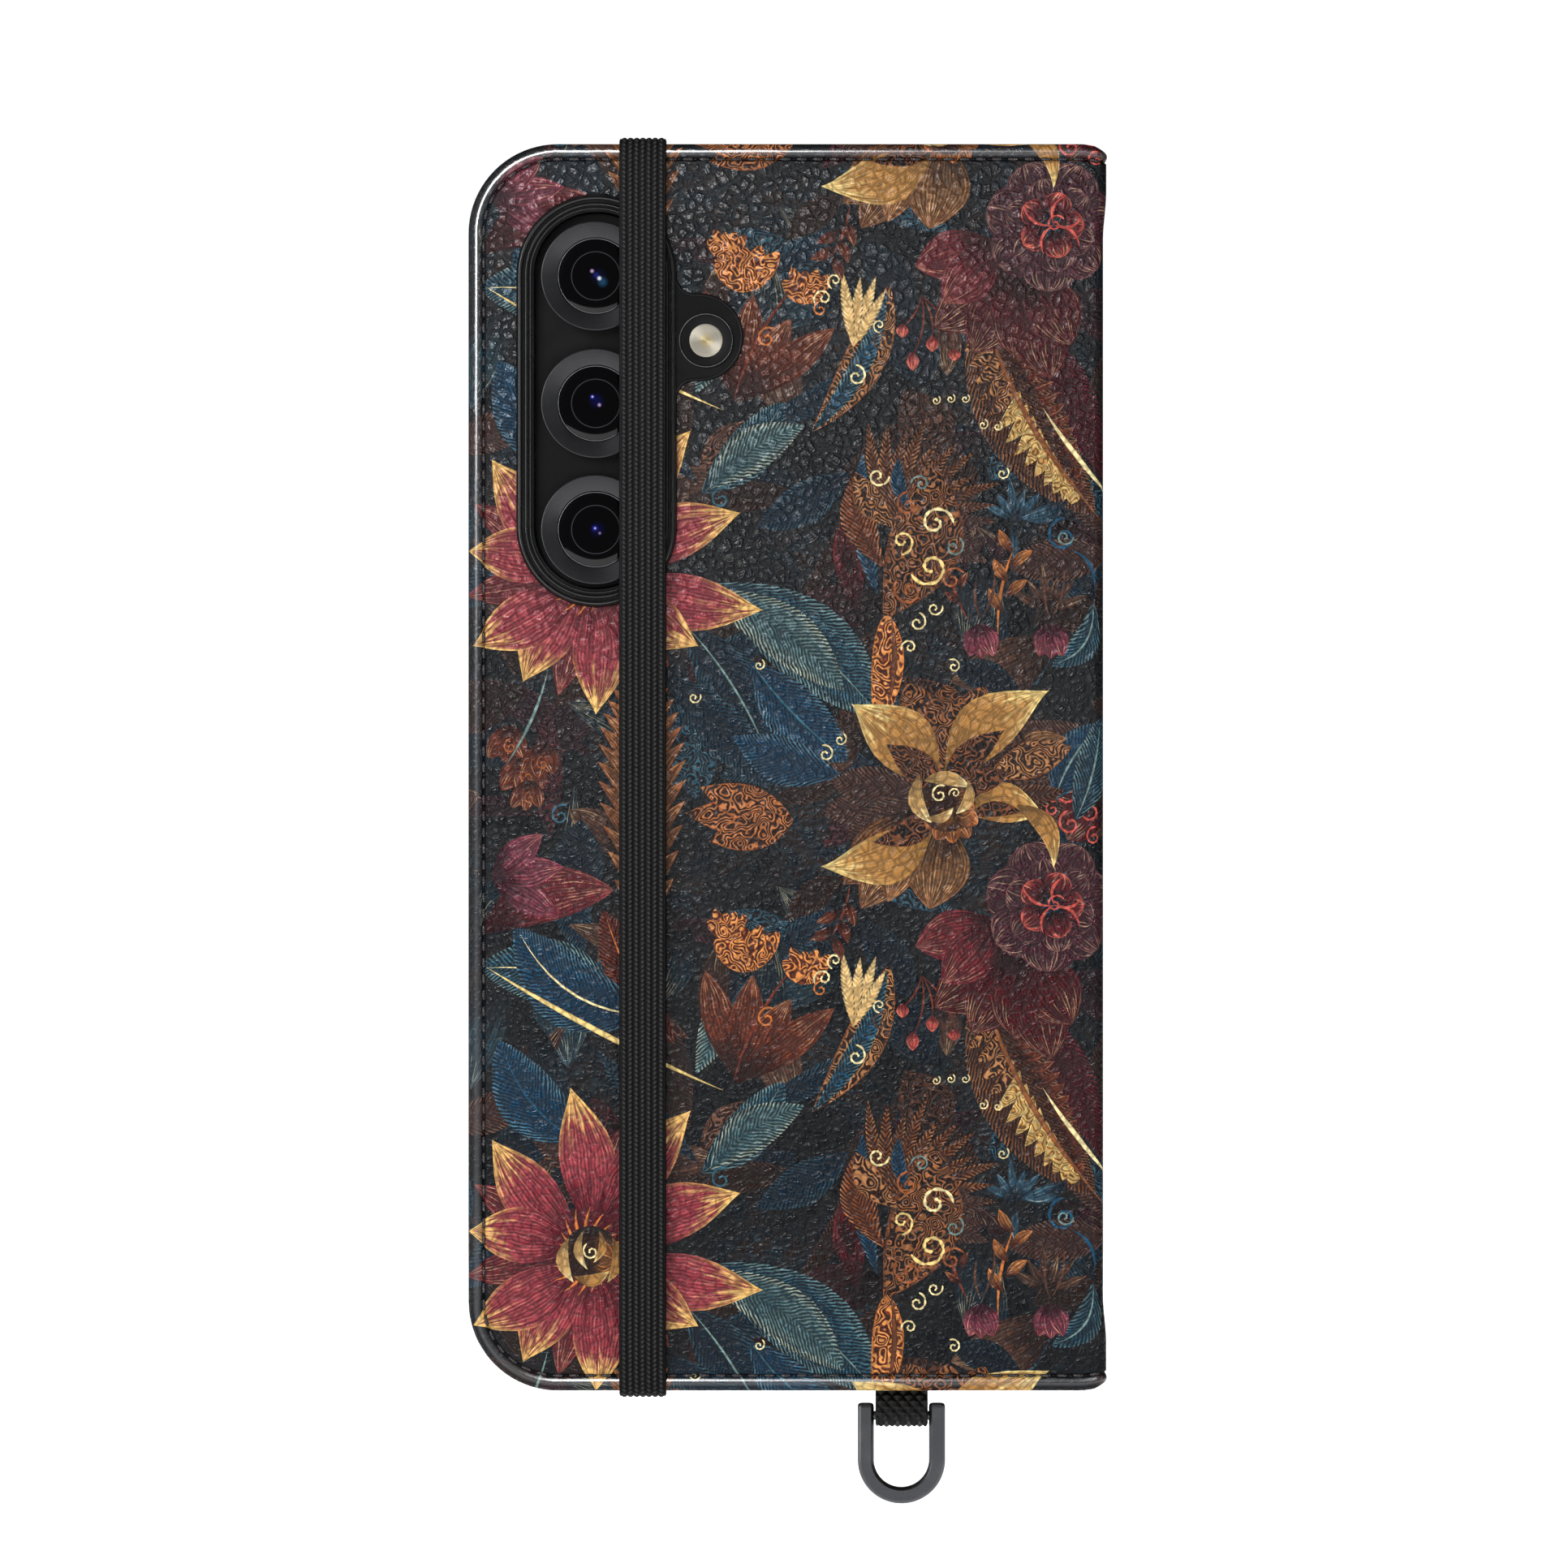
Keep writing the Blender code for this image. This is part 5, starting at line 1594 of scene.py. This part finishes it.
def strip(name, line, left, right, thick, columns, height, pitch, start=0.0):
    """A flat strip carried along a line in (y, z). Its outer face is raised by height(across,
    along), both in millimetres, and its back is plain. The section is closed all round."""

    def rounded(edge):
        return np.sqrt(np.clip(1 - (1 - np.clip(edge / (0.42 * thick), 0, 1)) ** 2, 0, 1))

    size = np.concatenate([[0], np.cumsum(np.linalg.norm(np.diff(line, axis=0), axis=1))])
    rows = int(size[-1] / pitch)
    at = np.linspace(0, size[-1], rows)
    along = at + start * size[-1]
    y, z = np.interp(at, size, line[:, 0]), np.interp(at, size, line[:, 1])
    way = np.gradient(np.stack([y, z], -1), axis=0)
    way /= np.linalg.norm(way, axis=1, keepdims=True)
    out = np.stack([-way[:, 1], way[:, 0]], -1)
    across = np.linspace(0, right - left, columns)
    lift = height(across[None, :], along[:, None])
    edge = np.minimum(across, right - left - across)
    round_off = rounded(edge)
    upper = thick / 2 * round_off + lift * round_off
    back = np.linspace(right - left, 0, 9)
    back_edge = np.minimum(back, right - left - back)
    lower = -thick / 2 * rounded(back_edge)
    lower = np.broadcast_to(lower, (rows, 9))[:, 1:-1]
    level = np.concatenate([upper, lower], 1)
    x = np.broadcast_to(left + np.concatenate([across, back[1:-1]]), level.shape)
    points = np.stack([x, y[:, None] + out[:, :1] * level, z[:, None] + out[:, 1:] * level], -1)
    faces = grid_faces(*level.shape, False, True)
    piece = new_piece(name, points, faces)
    set_uv(piece, np.stack(np.broadcast_arrays((x - left) / (right - left), along[:, None] / 10), -1))
    top = (lift - lift.min()) / np.ptp(lift)
    top = np.concatenate([top, np.full((rows, 7), 0.5)], 1)
    mark_points(piece, "lift", top)
    cap_ends(piece, level.shape[1])
    print(name, level.shape, "points")
    return close_up(piece, 70)


def band_height(across, along):
    """Ribs as a row of round backs, times slanted beads along them, beside a rolled selvage."""
    width = BAND_RIGHT - BAND_LEFT
    inner = (across - BAND_SELVAGE) / (width - 2 * BAND_SELVAGE) * RIBS
    rib = np.abs(np.sin(np.pi * np.clip(inner, 0, RIBS)))
    number = np.floor(np.clip(inner, 0, RIBS - 1e-6))
    local = inner - number - 0.5
    turn = np.where(number % 2 == 0, 1.0, -1.0)
    bead = np.abs(np.sin(np.pi * (along / BEAD + 0.5 * number + 0.55 * turn * local)))
    cord = 0.22 * rib**0.8 * (0.35 + 0.65 * bead**0.8)
    edge = np.minimum(across, width - across)
    rolled = 0.12 * np.sqrt(np.clip(1 - (edge / BAND_SELVAGE - 0.5) ** 2 * 4, 0, 1))
    rolled = rolled * (0.9 + 0.1 * np.sin(2 * np.pi * along / 0.8))
    return np.where(edge < BAND_SELVAGE, rolled, cord) - 0.1


def band_line(sign):
    """Down the middle of the cloth: along the back, over the cover's end and in behind the tray."""
    level = (BAND_OUT + BAND_IN) / 2
    end = HALF_HEIGHT + 0.42
    corners = [
        (level, 0.0), (level, 71.6), (BACK_FACE - 0.62, 75.6), (BACK_FACE + 0.35, end), (back_inner, end),
        (back_inner + 0.42, end - 0.9), (back_inner + 0.42, 66.0),
    ]
    line = rounded_line(corners, 1.1)
    line[:, 1] *= sign
    return line


def make_elastic():
    """Black elastic yarn: painted shade in the valleys between the cords, a painted highlight
    broken by fine fibres on top, and a soft sheen.
    """
    material, tree, shader = new_material(
        "woven elastic", Sheen_Weight=0.005, Sheen_Roughness=0.4, Specular_IOR_Level=0.07
    )
    across, along = uv_place(tree)
    edge = BAND_SELVAGE / (BAND_RIGHT - BAND_LEFT)
    inner = times(tree, calc(tree, "SUBTRACT", across, edge), RIBS / (1 - 2 * edge))
    rib = calc(tree, "ABSOLUTE", calc(tree, "SINE", times(tree, inner, math.pi)))
    plies = wave(tree, plus(tree, times(tree, along, 10 / 0.19), times(tree, inner, 1.7)))
    fibres = noise(tree, object_place(tree), 7000.0, 2.0)
    spun = plus(tree, times(tree, ease(tree, plies, -1.0, 1.0), 0.5), times(tree, fibres, 0.5))
    top = point_value(tree, "lift")
    # painted shade: the low parts of the cloth are darker than its raised beads
    colour = mix(tree, ease(tree, top, 0.3, 0.95), rgb(2, 2, 2), rgb(17, 17, 18))
    # painted highlight: pale grey on the bead tops, broken up by the plies and fibres
    shine = times(tree, ease(tree, spun, 0.5, 0.75), ease(tree, top, 0.55, 1.0))
    colour = mix(tree, times(tree, shine, ease(tree, rib, 0.3, 0.95)), colour, rgb(74, 74, 76))
    feed(shader, "Base Color", colour)
    feed(shader, "Roughness", ease(tree, fibres, 0.2, 0.8, 0.42, 0.68))
    bump(tree, shader, spun, 0.05)
    return material


elastic = make_elastic()
for name, sign, old in (
    ("band_upper", 1, ("band_strap", "band_end_top")),
    ("band_lower", -1, ("band_end_bottom",)),
):
    line = band_line(sign)[::sign]
    piece = strip(
        name, line, BAND_LEFT, BAND_RIGHT, BAND_THICK, 64, band_height, 0.143, min(sign, 0)
    )
    piece.data.materials.append(elastic)
    hazed.objects.link(piece)
    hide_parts(*old)
    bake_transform(piece)

# %% [markdown]
# The camera guard. A frame with three fine ridges follows the stadium-shaped opening, a dark
# plate sits inside it with three lenses, and a flat lug on the right carries the lamp. The ridges
# matter most here, because each one shows as a thin line of light. The frame is the stadium's
# outline drawn again and again, moved in and raised by the ridge profile.

# %% Camera frame and plate
RIDGES = ((0.42, 0.24, 0.26), (1.2, 0.2, 0.2), (1.72, 0.14, 0.16))


def rings_piece(name, outlines, levels, sharp=30.0, fill=False):
    """Joins closed outlines in (x, z), each at its own level, into one surface; with fill, the
    first and last outlines are covered with flat faces."""
    count = len(outlines[0])
    rows = [np.column_stack([o[:, 0], np.full(count, v), o[:, 1]]) for o, v in zip(outlines, levels)]
    piece = new_piece(name, rows, grid_faces(len(outlines), count, not fill, True))
    if fill:
        cap_ends(piece, count)
    return close_up(piece, sharp)


def frame_profile():
    """(inset, level) over the frame: a flat floor with three rounded ridges on it."""
    inset = np.linspace(0.06, 2.1, 70)
    level = np.full(len(inset), BACK_FACE - 0.2)
    for middle, half, rise in RIDGES:
        reach = np.clip(1 - ((inset - middle) / half) ** 2, 0, 1)
        level = level - (rise + 0.1) * np.sqrt(reach)
    inset = np.concatenate([[0, 0], inset, [2.2, 2.2]])
    level = np.concatenate([[-1.6, BACK_FACE - 0.1], level, [BACK_FACE - 0.05, -1.6]])
    return inset, level


def make_gloss(name, dark, light, rough, coat, shine):
    """Gloss moulding or lacquered metal: nearly black, faint mottling, worn patches in the gloss."""
    material, tree, shader = new_material(name, Coat_Roughness=0.12, Specular_IOR_Level=shine)
    fine = use(tree, tooth, Scale=2400.0)["Height"]
    worn = use(tree, wear, Scale=120.0)["Mask"]
    feed(shader, "Base Color", mix(tree, fine, dark, light))
    feed(shader, "Roughness", ease(tree, worn, 0.0, 1.2, rough, rough + 0.12))
    feed(shader, "Coat Weight", calc(tree, "SUBTRACT", coat, times(tree, worn, 0.1)))
    bump(tree, shader, fine, 0.004)
    return material


frame_gloss = make_gloss("frame gloss", rgb(5, 5, 6), rgb(12, 12, 13), 0.24, 0.4, 0.4)
plate_satin = make_gloss("plate satin", rgb(8, 8, 9), rgb(15, 15, 16), 0.4, 0.02, 0.14)
insets, levels = frame_profile()
outlines = [np.concatenate(stadium_arcs(-i, 48)) for i in insets]
camera_frame = rings_piece("camera_frame", outlines, levels, 50)

# the lug's outline starts inside the frame, so the two read as one moulding


def lug_outline(grow):
    """The lug's edge, closed by a straight line under the frame."""
    inside = WINDOW_X + WINDOW_RADIUS - 0.9
    arcs = lug_arcs(grow, 10, 40)
    return np.concatenate([[[inside, arcs[0][0, 1]]], *arcs, [[inside, arcs[-1][-1, 1]]]])


lug_levels = [(0.0, -1.6), (0.0, -4.02), (-0.06, -4.12), (-0.16, -4.16), (-0.28, -4.1), (-0.34, -4.0)]
flash_lug = rings_piece(
    "flash_lug", [lug_outline(g) for g, _ in lug_levels], [v for _, v in lug_levels], 30, True
)
ride(camera_frame, "back", "window_rim", frame_gloss, "camera_bezel")
ride(flash_lug, "back", "window_rim", plate_satin)
deck = smooth_copy("camera_deck", "camera_plate", 0.04)
ride(deck, "back", "camera_plate", plate_satin, "camera_plate")

# %% [markdown]
# The lenses. Each is a dark metal ring that slopes in towards the glass, a thin bright lip, and
# a black glass with a faint inner circle. The ring is turned metal, so it shines in two
# opposite sectors: an anisotropic shader with its grain round the ring does this by itself.

# %% Lenses


def make_ring_metal():
    """Black anodised metal, turned: hair-fine grooves run round it."""
    material, tree, shader = new_material(
        "turned metal", Metallic=1.0, Anisotropic=0.8, Anisotropic_Rotation=0.25
    )
    line = turned_lines(tree, shader, uv_place(tree)[1], 90.0, 3.0)
    worn = use(tree, wear, Scale=150.0)["Mask"]
    colour = mix(tree, line, rgb(48, 48, 50), rgb(80, 80, 83))
    colour = mix(tree, times(tree, worn, 0.12), colour, rgb(110, 110, 112))
    feed(shader, "Base Color", colour)
    feed(shader, "Roughness", ease(tree, line, 0.2, 0.8, 0.3, 0.42))
    return material


def make_lip_metal():
    """The polished edge round a glass."""
    material, tree, shader = new_material("polished lip", Metallic=1.0)
    fine = use(tree, tooth, Scale=4000.0)["Height"]
    feed(shader, "Base Color", mix(tree, fine, rgb(84, 84, 87), rgb(128, 128, 132)))
    feed(shader, "Roughness", ease(tree, fine, 0.2, 0.8, 0.16, 0.26))
    return material


def make_glass(name, spots):
    """Coated black glass with an inner circle. Its small coloured glints and a faint blue glow in the
    middle are painted reflections, made to glow by emission. spots holds (x, z, radius, colour,
    strength) in millimetres from the lens's centre."""
    material, tree, shader = new_material(name, Specular_IOR_Level=0.3)
    x, z = uv_place(tree)
    off_circle = calc(tree, "ABSOLUTE", calc(tree, "SUBTRACT", reach_of(tree, x, z), 2.98))
    colour = mix(tree, ease(tree, off_circle, 0.09, 0.02), rgb(1, 1, 2), rgb(46, 46, 49))
    glow = (0.0, 0.0, 0.0, 1.0)
    # painted reflections: each spot adds a glowing patch of colour to the glass
    for at_x, at_z, size, tint, strength in spots:
        off_x = calc(tree, "SUBTRACT", x, at_x)
        off_z = calc(tree, "SUBTRACT", z, at_z)
        away = reach_of(tree, off_x, off_z)
        glow = mix(tree, times(tree, ease(tree, away, size, 0.0), strength), glow, tint, "ADD")
    fine = use(tree, tooth, Scale=1500.0)["Height"]
    feed(shader, "Base Color", colour)
    feed(shader, "Emission Color", glow)
    shader.inputs["Emission Strength"].default_value = 1.0
    feed(shader, "Roughness", ease(tree, fine, 0.0, 1.0, 0.05, 0.09))
    return material


ring_metal = make_ring_metal()
lip_metal = make_lip_metal()
WHITE, LILAC = rgb(235, 240, 255), rgb(190, 160, 205)
TEAL_GLINT, BLUE_GLINT = rgb(30, 70, 100), rgb(40, 44, 150)
# painted reflections for each lens, as (x, z, radius, colour, strength)
GLINTS = (
    (
        (-0.45, 0.6, 0.34, LILAC, 1.0), (0.45, -0.3, 0.38, WHITE, 1.0), (0.05, 0.1, 0.5, BLUE_GLINT, 0.5),
        (0.85, -0.75, 0.85, TEAL_GLINT, 0.9), (0.3, 0.0, 1.3, rgb(6, 12, 40), 1.0),
    ),
    (
        (-0.42, 0.8, 0.42, BLUE_GLINT, 1.0), (-0.4, 0.82, 0.2, WHITE, 0.7),
        (0.45, -0.2, 0.32, LILAC, 0.9), (0.1, 0.3, 1.2, rgb(6, 8, 60), 1.0),
    ),
    (
        (-0.1, 0.15, 0.5, BLUE_GLINT, 1.0), (-0.08, 0.16, 0.2, WHITE, 0.6),
        (0.5, -0.45, 0.26, LILAC, 0.5), (0.2, 0.0, 1.2, rgb(4, 6, 52), 1.0),
    ),
)
RING_PROFILE = [
    (4.72, -3.15), (6.7, -3.15), (6.72, -4.22), (6.69, -4.3), (6.62, -4.34), (6.5, -4.33),
    (5.9, -4.24), (5.3, -4.12), (4.9, -4.02), (4.76, -3.98), (4.72, -3.9),
]
GLASS_PROFILE = [
    (0.0, -3.7), (4.56, -3.7), (4.56, -3.98), (4.52, -4.0), (3.0, -4.004), (1.5, -4.006), (0.0, -4.007),
]


def wire_profile(radius, level, size):
    """Eight points round a thin wire, whose middle is at (radius, level)."""
    turn = np.linspace(0, 2 * math.pi, 9)[:-1]
    return [(radius + size * math.cos(t), level + size * math.sin(t)) for t in turn]


for number in (1, 2, 3):
    low, high = box(f"lens_ring_{number}")
    centre = ((low[0] + high[0]) / 2, (low[2] + high[2]) / 2)
    rim = turned(f"lens_rim_{number}", RING_PROFILE, centre, 128)
    ride(rim, "back", "lens_metal", ring_metal, f"lens_ring_{number}")
    lip = turned(f"lens_lip_{number}", wire_profile(4.6, -4.02, 0.06), centre, 128)
    ride(lip, "back", "lens_metal", lip_metal)
    glass = turned(f"lens_window_{number}", GLASS_PROFILE, centre, 96, False)
    spots = np.empty(len(glass.data.vertices) * 3, np.float32)
    glass.data.vertices.foreach_get("co", spots)
    spots = spots.reshape(-1, 3)[:, [0, 2]] / MM - centre
    glass.data.uv_layers.remove(glass.data.uv_layers[0])
    set_uv(glass, spots)
    coated = make_glass(f"coated glass {number}", GLINTS[number - 1])
    ride(glass, "back", "lens_glass", coated, f"lens_glass_{number}")
    refinish(f"lens_barrel_{number}", frame_gloss)

# %% [markdown]
# The lamp: a ring with a thin bright edge, round a pale pressed reflector that was turned, so it
# shines like a brushed disc. It is a shallow cone with fine rings in it.

# %% Flash


def make_reflector():
    """Warm silver, turned: fine rings, and an uneven glow towards the middle."""
    material, tree, shader = new_material(
        "flash reflector", Metallic=0.85, Anisotropic=0.8, Anisotropic_Rotation=0.25
    )
    along = uv_place(tree)[1]
    rings = turned_lines(tree, shader, along, 60.0)
    colour = mix(tree, rings, rgb(160, 152, 134), rgb(226, 220, 206))
    warm = ease(tree, along, 0.72, 1.0, 0.0, 0.7)
    feed(shader, "Base Color", mix(tree, warm, colour, rgb(214, 190, 120)))
    feed(shader, "Roughness", ease(tree, rings, 0.2, 0.8, 0.3, 0.44))
    return material


low, high = box("flash_ring")
lamp = ((low[0] + high[0]) / 2, (low[2] + high[2]) / 2)
LAMP_RING = [
    (2.15, -3.6), (3.3, -3.6), (3.3, -4.18), (3.24, -4.26), (3.16, -4.26), (3.08, -4.16), (2.4, -4.1),
    (2.15, -4.02),
]
LAMP_DISC = [
    (0.0, -3.6), (2.05, -3.6), (2.05, -4.02), (2.0, -4.08), (1.9, -4.09), (1.4, -4.06), (0.7, -4.03),
    (0.0, -4.02),
]
surround = turned("flash_surround", LAMP_RING, lamp, 96)
ride(surround, "back", "camera_plate", plate_satin, "flash_ring")
lip = turned("flash_lip", wire_profile(3.26, -4.24, 0.05), lamp, 96)
ride(lip, "back", "lens_metal", lip_metal)
pressed = turned("flash_disc", LAMP_DISC, lamp, 96, False)
ride(pressed, "back", "flash_lens", make_reflector(), "flash_diffuser")

# %% [markdown]
# The webbing tab is sewn in behind the tray, comes out under the lower edge, goes round the
# ring's pin and back. Its weave stands up in small studs that lie like bricks. The height is a
# product of two waves, sharpened, so each stud has four faces.

# %% Webbing tab
web_low, web_high = box("webbing_loop")
pin_low, pin_high = box("ring_pin")
PIN_Y, PIN_Z = float(pin_low[1] + pin_high[1]) / 2, float(pin_low[2] + pin_high[2]) / 2
STUD_X, STUD_Z = 1.366, 1.4


def stud_height(across, along):
    """Four-sided studs, laid like bricks: the lower of two slanted triangle waves."""
    first = across / STUD_X + along / STUD_Z
    second = across / STUD_X - along / STUD_Z
    ramp_a = 1 - 2 * np.abs(first - np.round(first))
    ramp_b = 1 - 2 * np.abs(second - np.round(second))
    return 0.42 * np.minimum(ramp_a, ramp_b) - 0.2


def webbing_line():
    """From behind the tray down to the tab, round the pin, and back up against itself."""
    radius = 1.0
    turn = np.linspace(np.pi, 2 * np.pi, 15)
    bend = np.stack([PIN_Y + radius * np.cos(turn), PIN_Z + radius * np.sin(turn)], -1)
    down = rounded_line([(PIN_Y, -66.0), (PIN_Y, -76.9), (PIN_Y - 0.75, -78.1), bend[0]], 1.4)
    up = rounded_line([bend[-1], (PIN_Y + 0.72, -78.3), (PIN_Y + 0.5, -77.25)], 0.8)
    return np.concatenate([down[:-1], bend, up[1:]])[::-1]


def make_webbing():
    """Black nylon webbing: painted shade in the gaps and a painted highlight on the thread tops,
    streaked by fine filaments along the studs.
    """
    material, tree, shader = new_material("nylon webbing", Sheen_Weight=0.005, Specular_IOR_Level=0.16)
    across, along = uv_place(tree)
    width = float(web_high[0] - web_low[0])
    slanted = calc(tree, "SUBTRACT", times(tree, across, width / STUD_X), times(tree, along, 10 / STUD_Z))
    threads = wave(tree, times(tree, slanted, 5.0))
    fibres = noise(tree, object_place(tree), 6000.0, 2.0)
    spun = plus(tree, times(tree, ease(tree, threads, -1.0, 1.0), 0.6), times(tree, fibres, 0.4))
    top = point_value(tree, "lift")
    # painted highlight and shade: the stud tops are lighter and the gaps darker
    colour = mix(tree, times(tree, spun, top), rgb(2, 2, 2), rgb(24, 24, 25))
    feed(shader, "Base Color", colour)
    feed(shader, "Roughness", ease(tree, fibres, 0.2, 0.8, 0.24, 0.42))
    bump(tree, shader, spun, 0.025)
    return material


web = strip("webbing", webbing_line(), float(web_low[0]), float(web_high[0]), 0.6, 66, stud_height, 0.1)
web.data.materials.append(make_webbing())
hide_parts("webbing_tail", "webbing_loop")
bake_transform(web)

# %% [markdown]
# The ring is a bar of dark metal bent into a U, with chamfers along every edge that catch one
# clean line of light each, and a pin across the top that the webbing turns on. An octagon
# carried along the U makes it: down one leg, round the bend and up the other.

# %% Ring and pin
ring_low, ring_high = box("u_ring")
RING_X = float(ring_low[0] + ring_high[0]) / 2
RING_TOP = float(ring_high[2])
RING_OUTER = float(ring_high[0] - ring_low[0]) / 2
BAR = 1.0
RING_RADIUS = RING_OUTER - BAR
RING_BEND = float(ring_low[2]) + RING_OUTER


def make_bar():
    """An octagonal section with softened corners, carried along a U; its ends are domed a little."""
    corner = np.array([(0.62, 1), (0.8, 0.82), (0.91, 0.66), (1, 0.4)])
    section = np.concatenate([corner, corner[::-1] * (1, -1), corner * (-1, -1), corner[::-1] * (-1, 1)])
    turn = np.linspace(0, np.pi, 73)
    bend = np.stack([RING_X - RING_RADIUS * np.cos(turn), RING_BEND - RING_RADIUS * np.sin(turn)], -1)
    inward = np.stack([np.cos(turn), np.sin(turn)], -1)
    tops = RING_TOP - np.array([0.0, 0.05, 0.16, 0.34, 0.6])
    scale = np.array([0.6, 0.8, 0.93, 0.99, 1.0])
    left = np.stack([np.full(5, RING_X - RING_RADIUS), tops], -1)
    right = np.stack([np.full(5, RING_X + RING_RADIUS), tops[::-1]], -1)
    line = np.concatenate([left, bend, right])
    side = np.concatenate([np.tile([1.0, 0.0], (5, 1)), inward, np.tile([-1.0, 0.0], (5, 1))])
    grow = np.concatenate([scale, np.ones(73), scale[::-1]])[:, None]
    across, out = section[:, 0] * BAR * grow, section[:, 1] * BAR * grow
    points = np.stack(
        [line[:, :1] + side[:, :1] * across, PIN_Y + out, line[:, 1:] + side[:, 1:] * across], -1
    )
    piece = new_piece("ring_bar", points, grid_faces(len(line), len(section), False, True))
    cap_ends(piece, len(section))
    return close_up(piece, 18)


def make_gunmetal():
    """Dark plated zinc: satin, with fine tooth and worn patches a little brighter."""
    material, tree, shader = new_material("gunmetal plate", Metallic=1.0)
    fine = use(tree, tooth, Scale=4200.0)["Height"]
    worn = use(tree, wear, Scale=140.0)["Mask"]
    colour = mix(tree, fine, rgb(66, 67, 70), rgb(84, 85, 88))
    colour = mix(tree, times(tree, worn, 0.12), colour, rgb(140, 140, 142))
    feed(shader, "Base Color", colour)
    rough = ease(tree, fine, 0.0, 1.0, 0.26, 0.4)
    feed(shader, "Roughness", plus(tree, rough, times(tree, worn, 0.06)))
    bump(tree, shader, fine, 0.006)
    return material


gunmetal = make_gunmetal()
ride(make_bar(), "ring", "gunmetal", gunmetal, "u_ring")
ride(smooth_copy("pin_rod", "ring_pin", 0.08), "ring", "gunmetal", gunmetal, "ring_pin")

# %% [markdown]
# The key light's mirror image suits metal and plastic, but would veil the print. So it falls on
# every mesh except the skin's two halves. Then the sizes are measured.

# %% Key shine, sizes and finish
shiny = bpy.data.collections.new("key shine falls on")
for piece in scene.objects:
    if piece.type == "MESH" and piece not in (back_sheet, front_sheet):
        shiny.objects.link(piece)
key_shine.light_linking.receiver_collection = shiny
low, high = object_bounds()
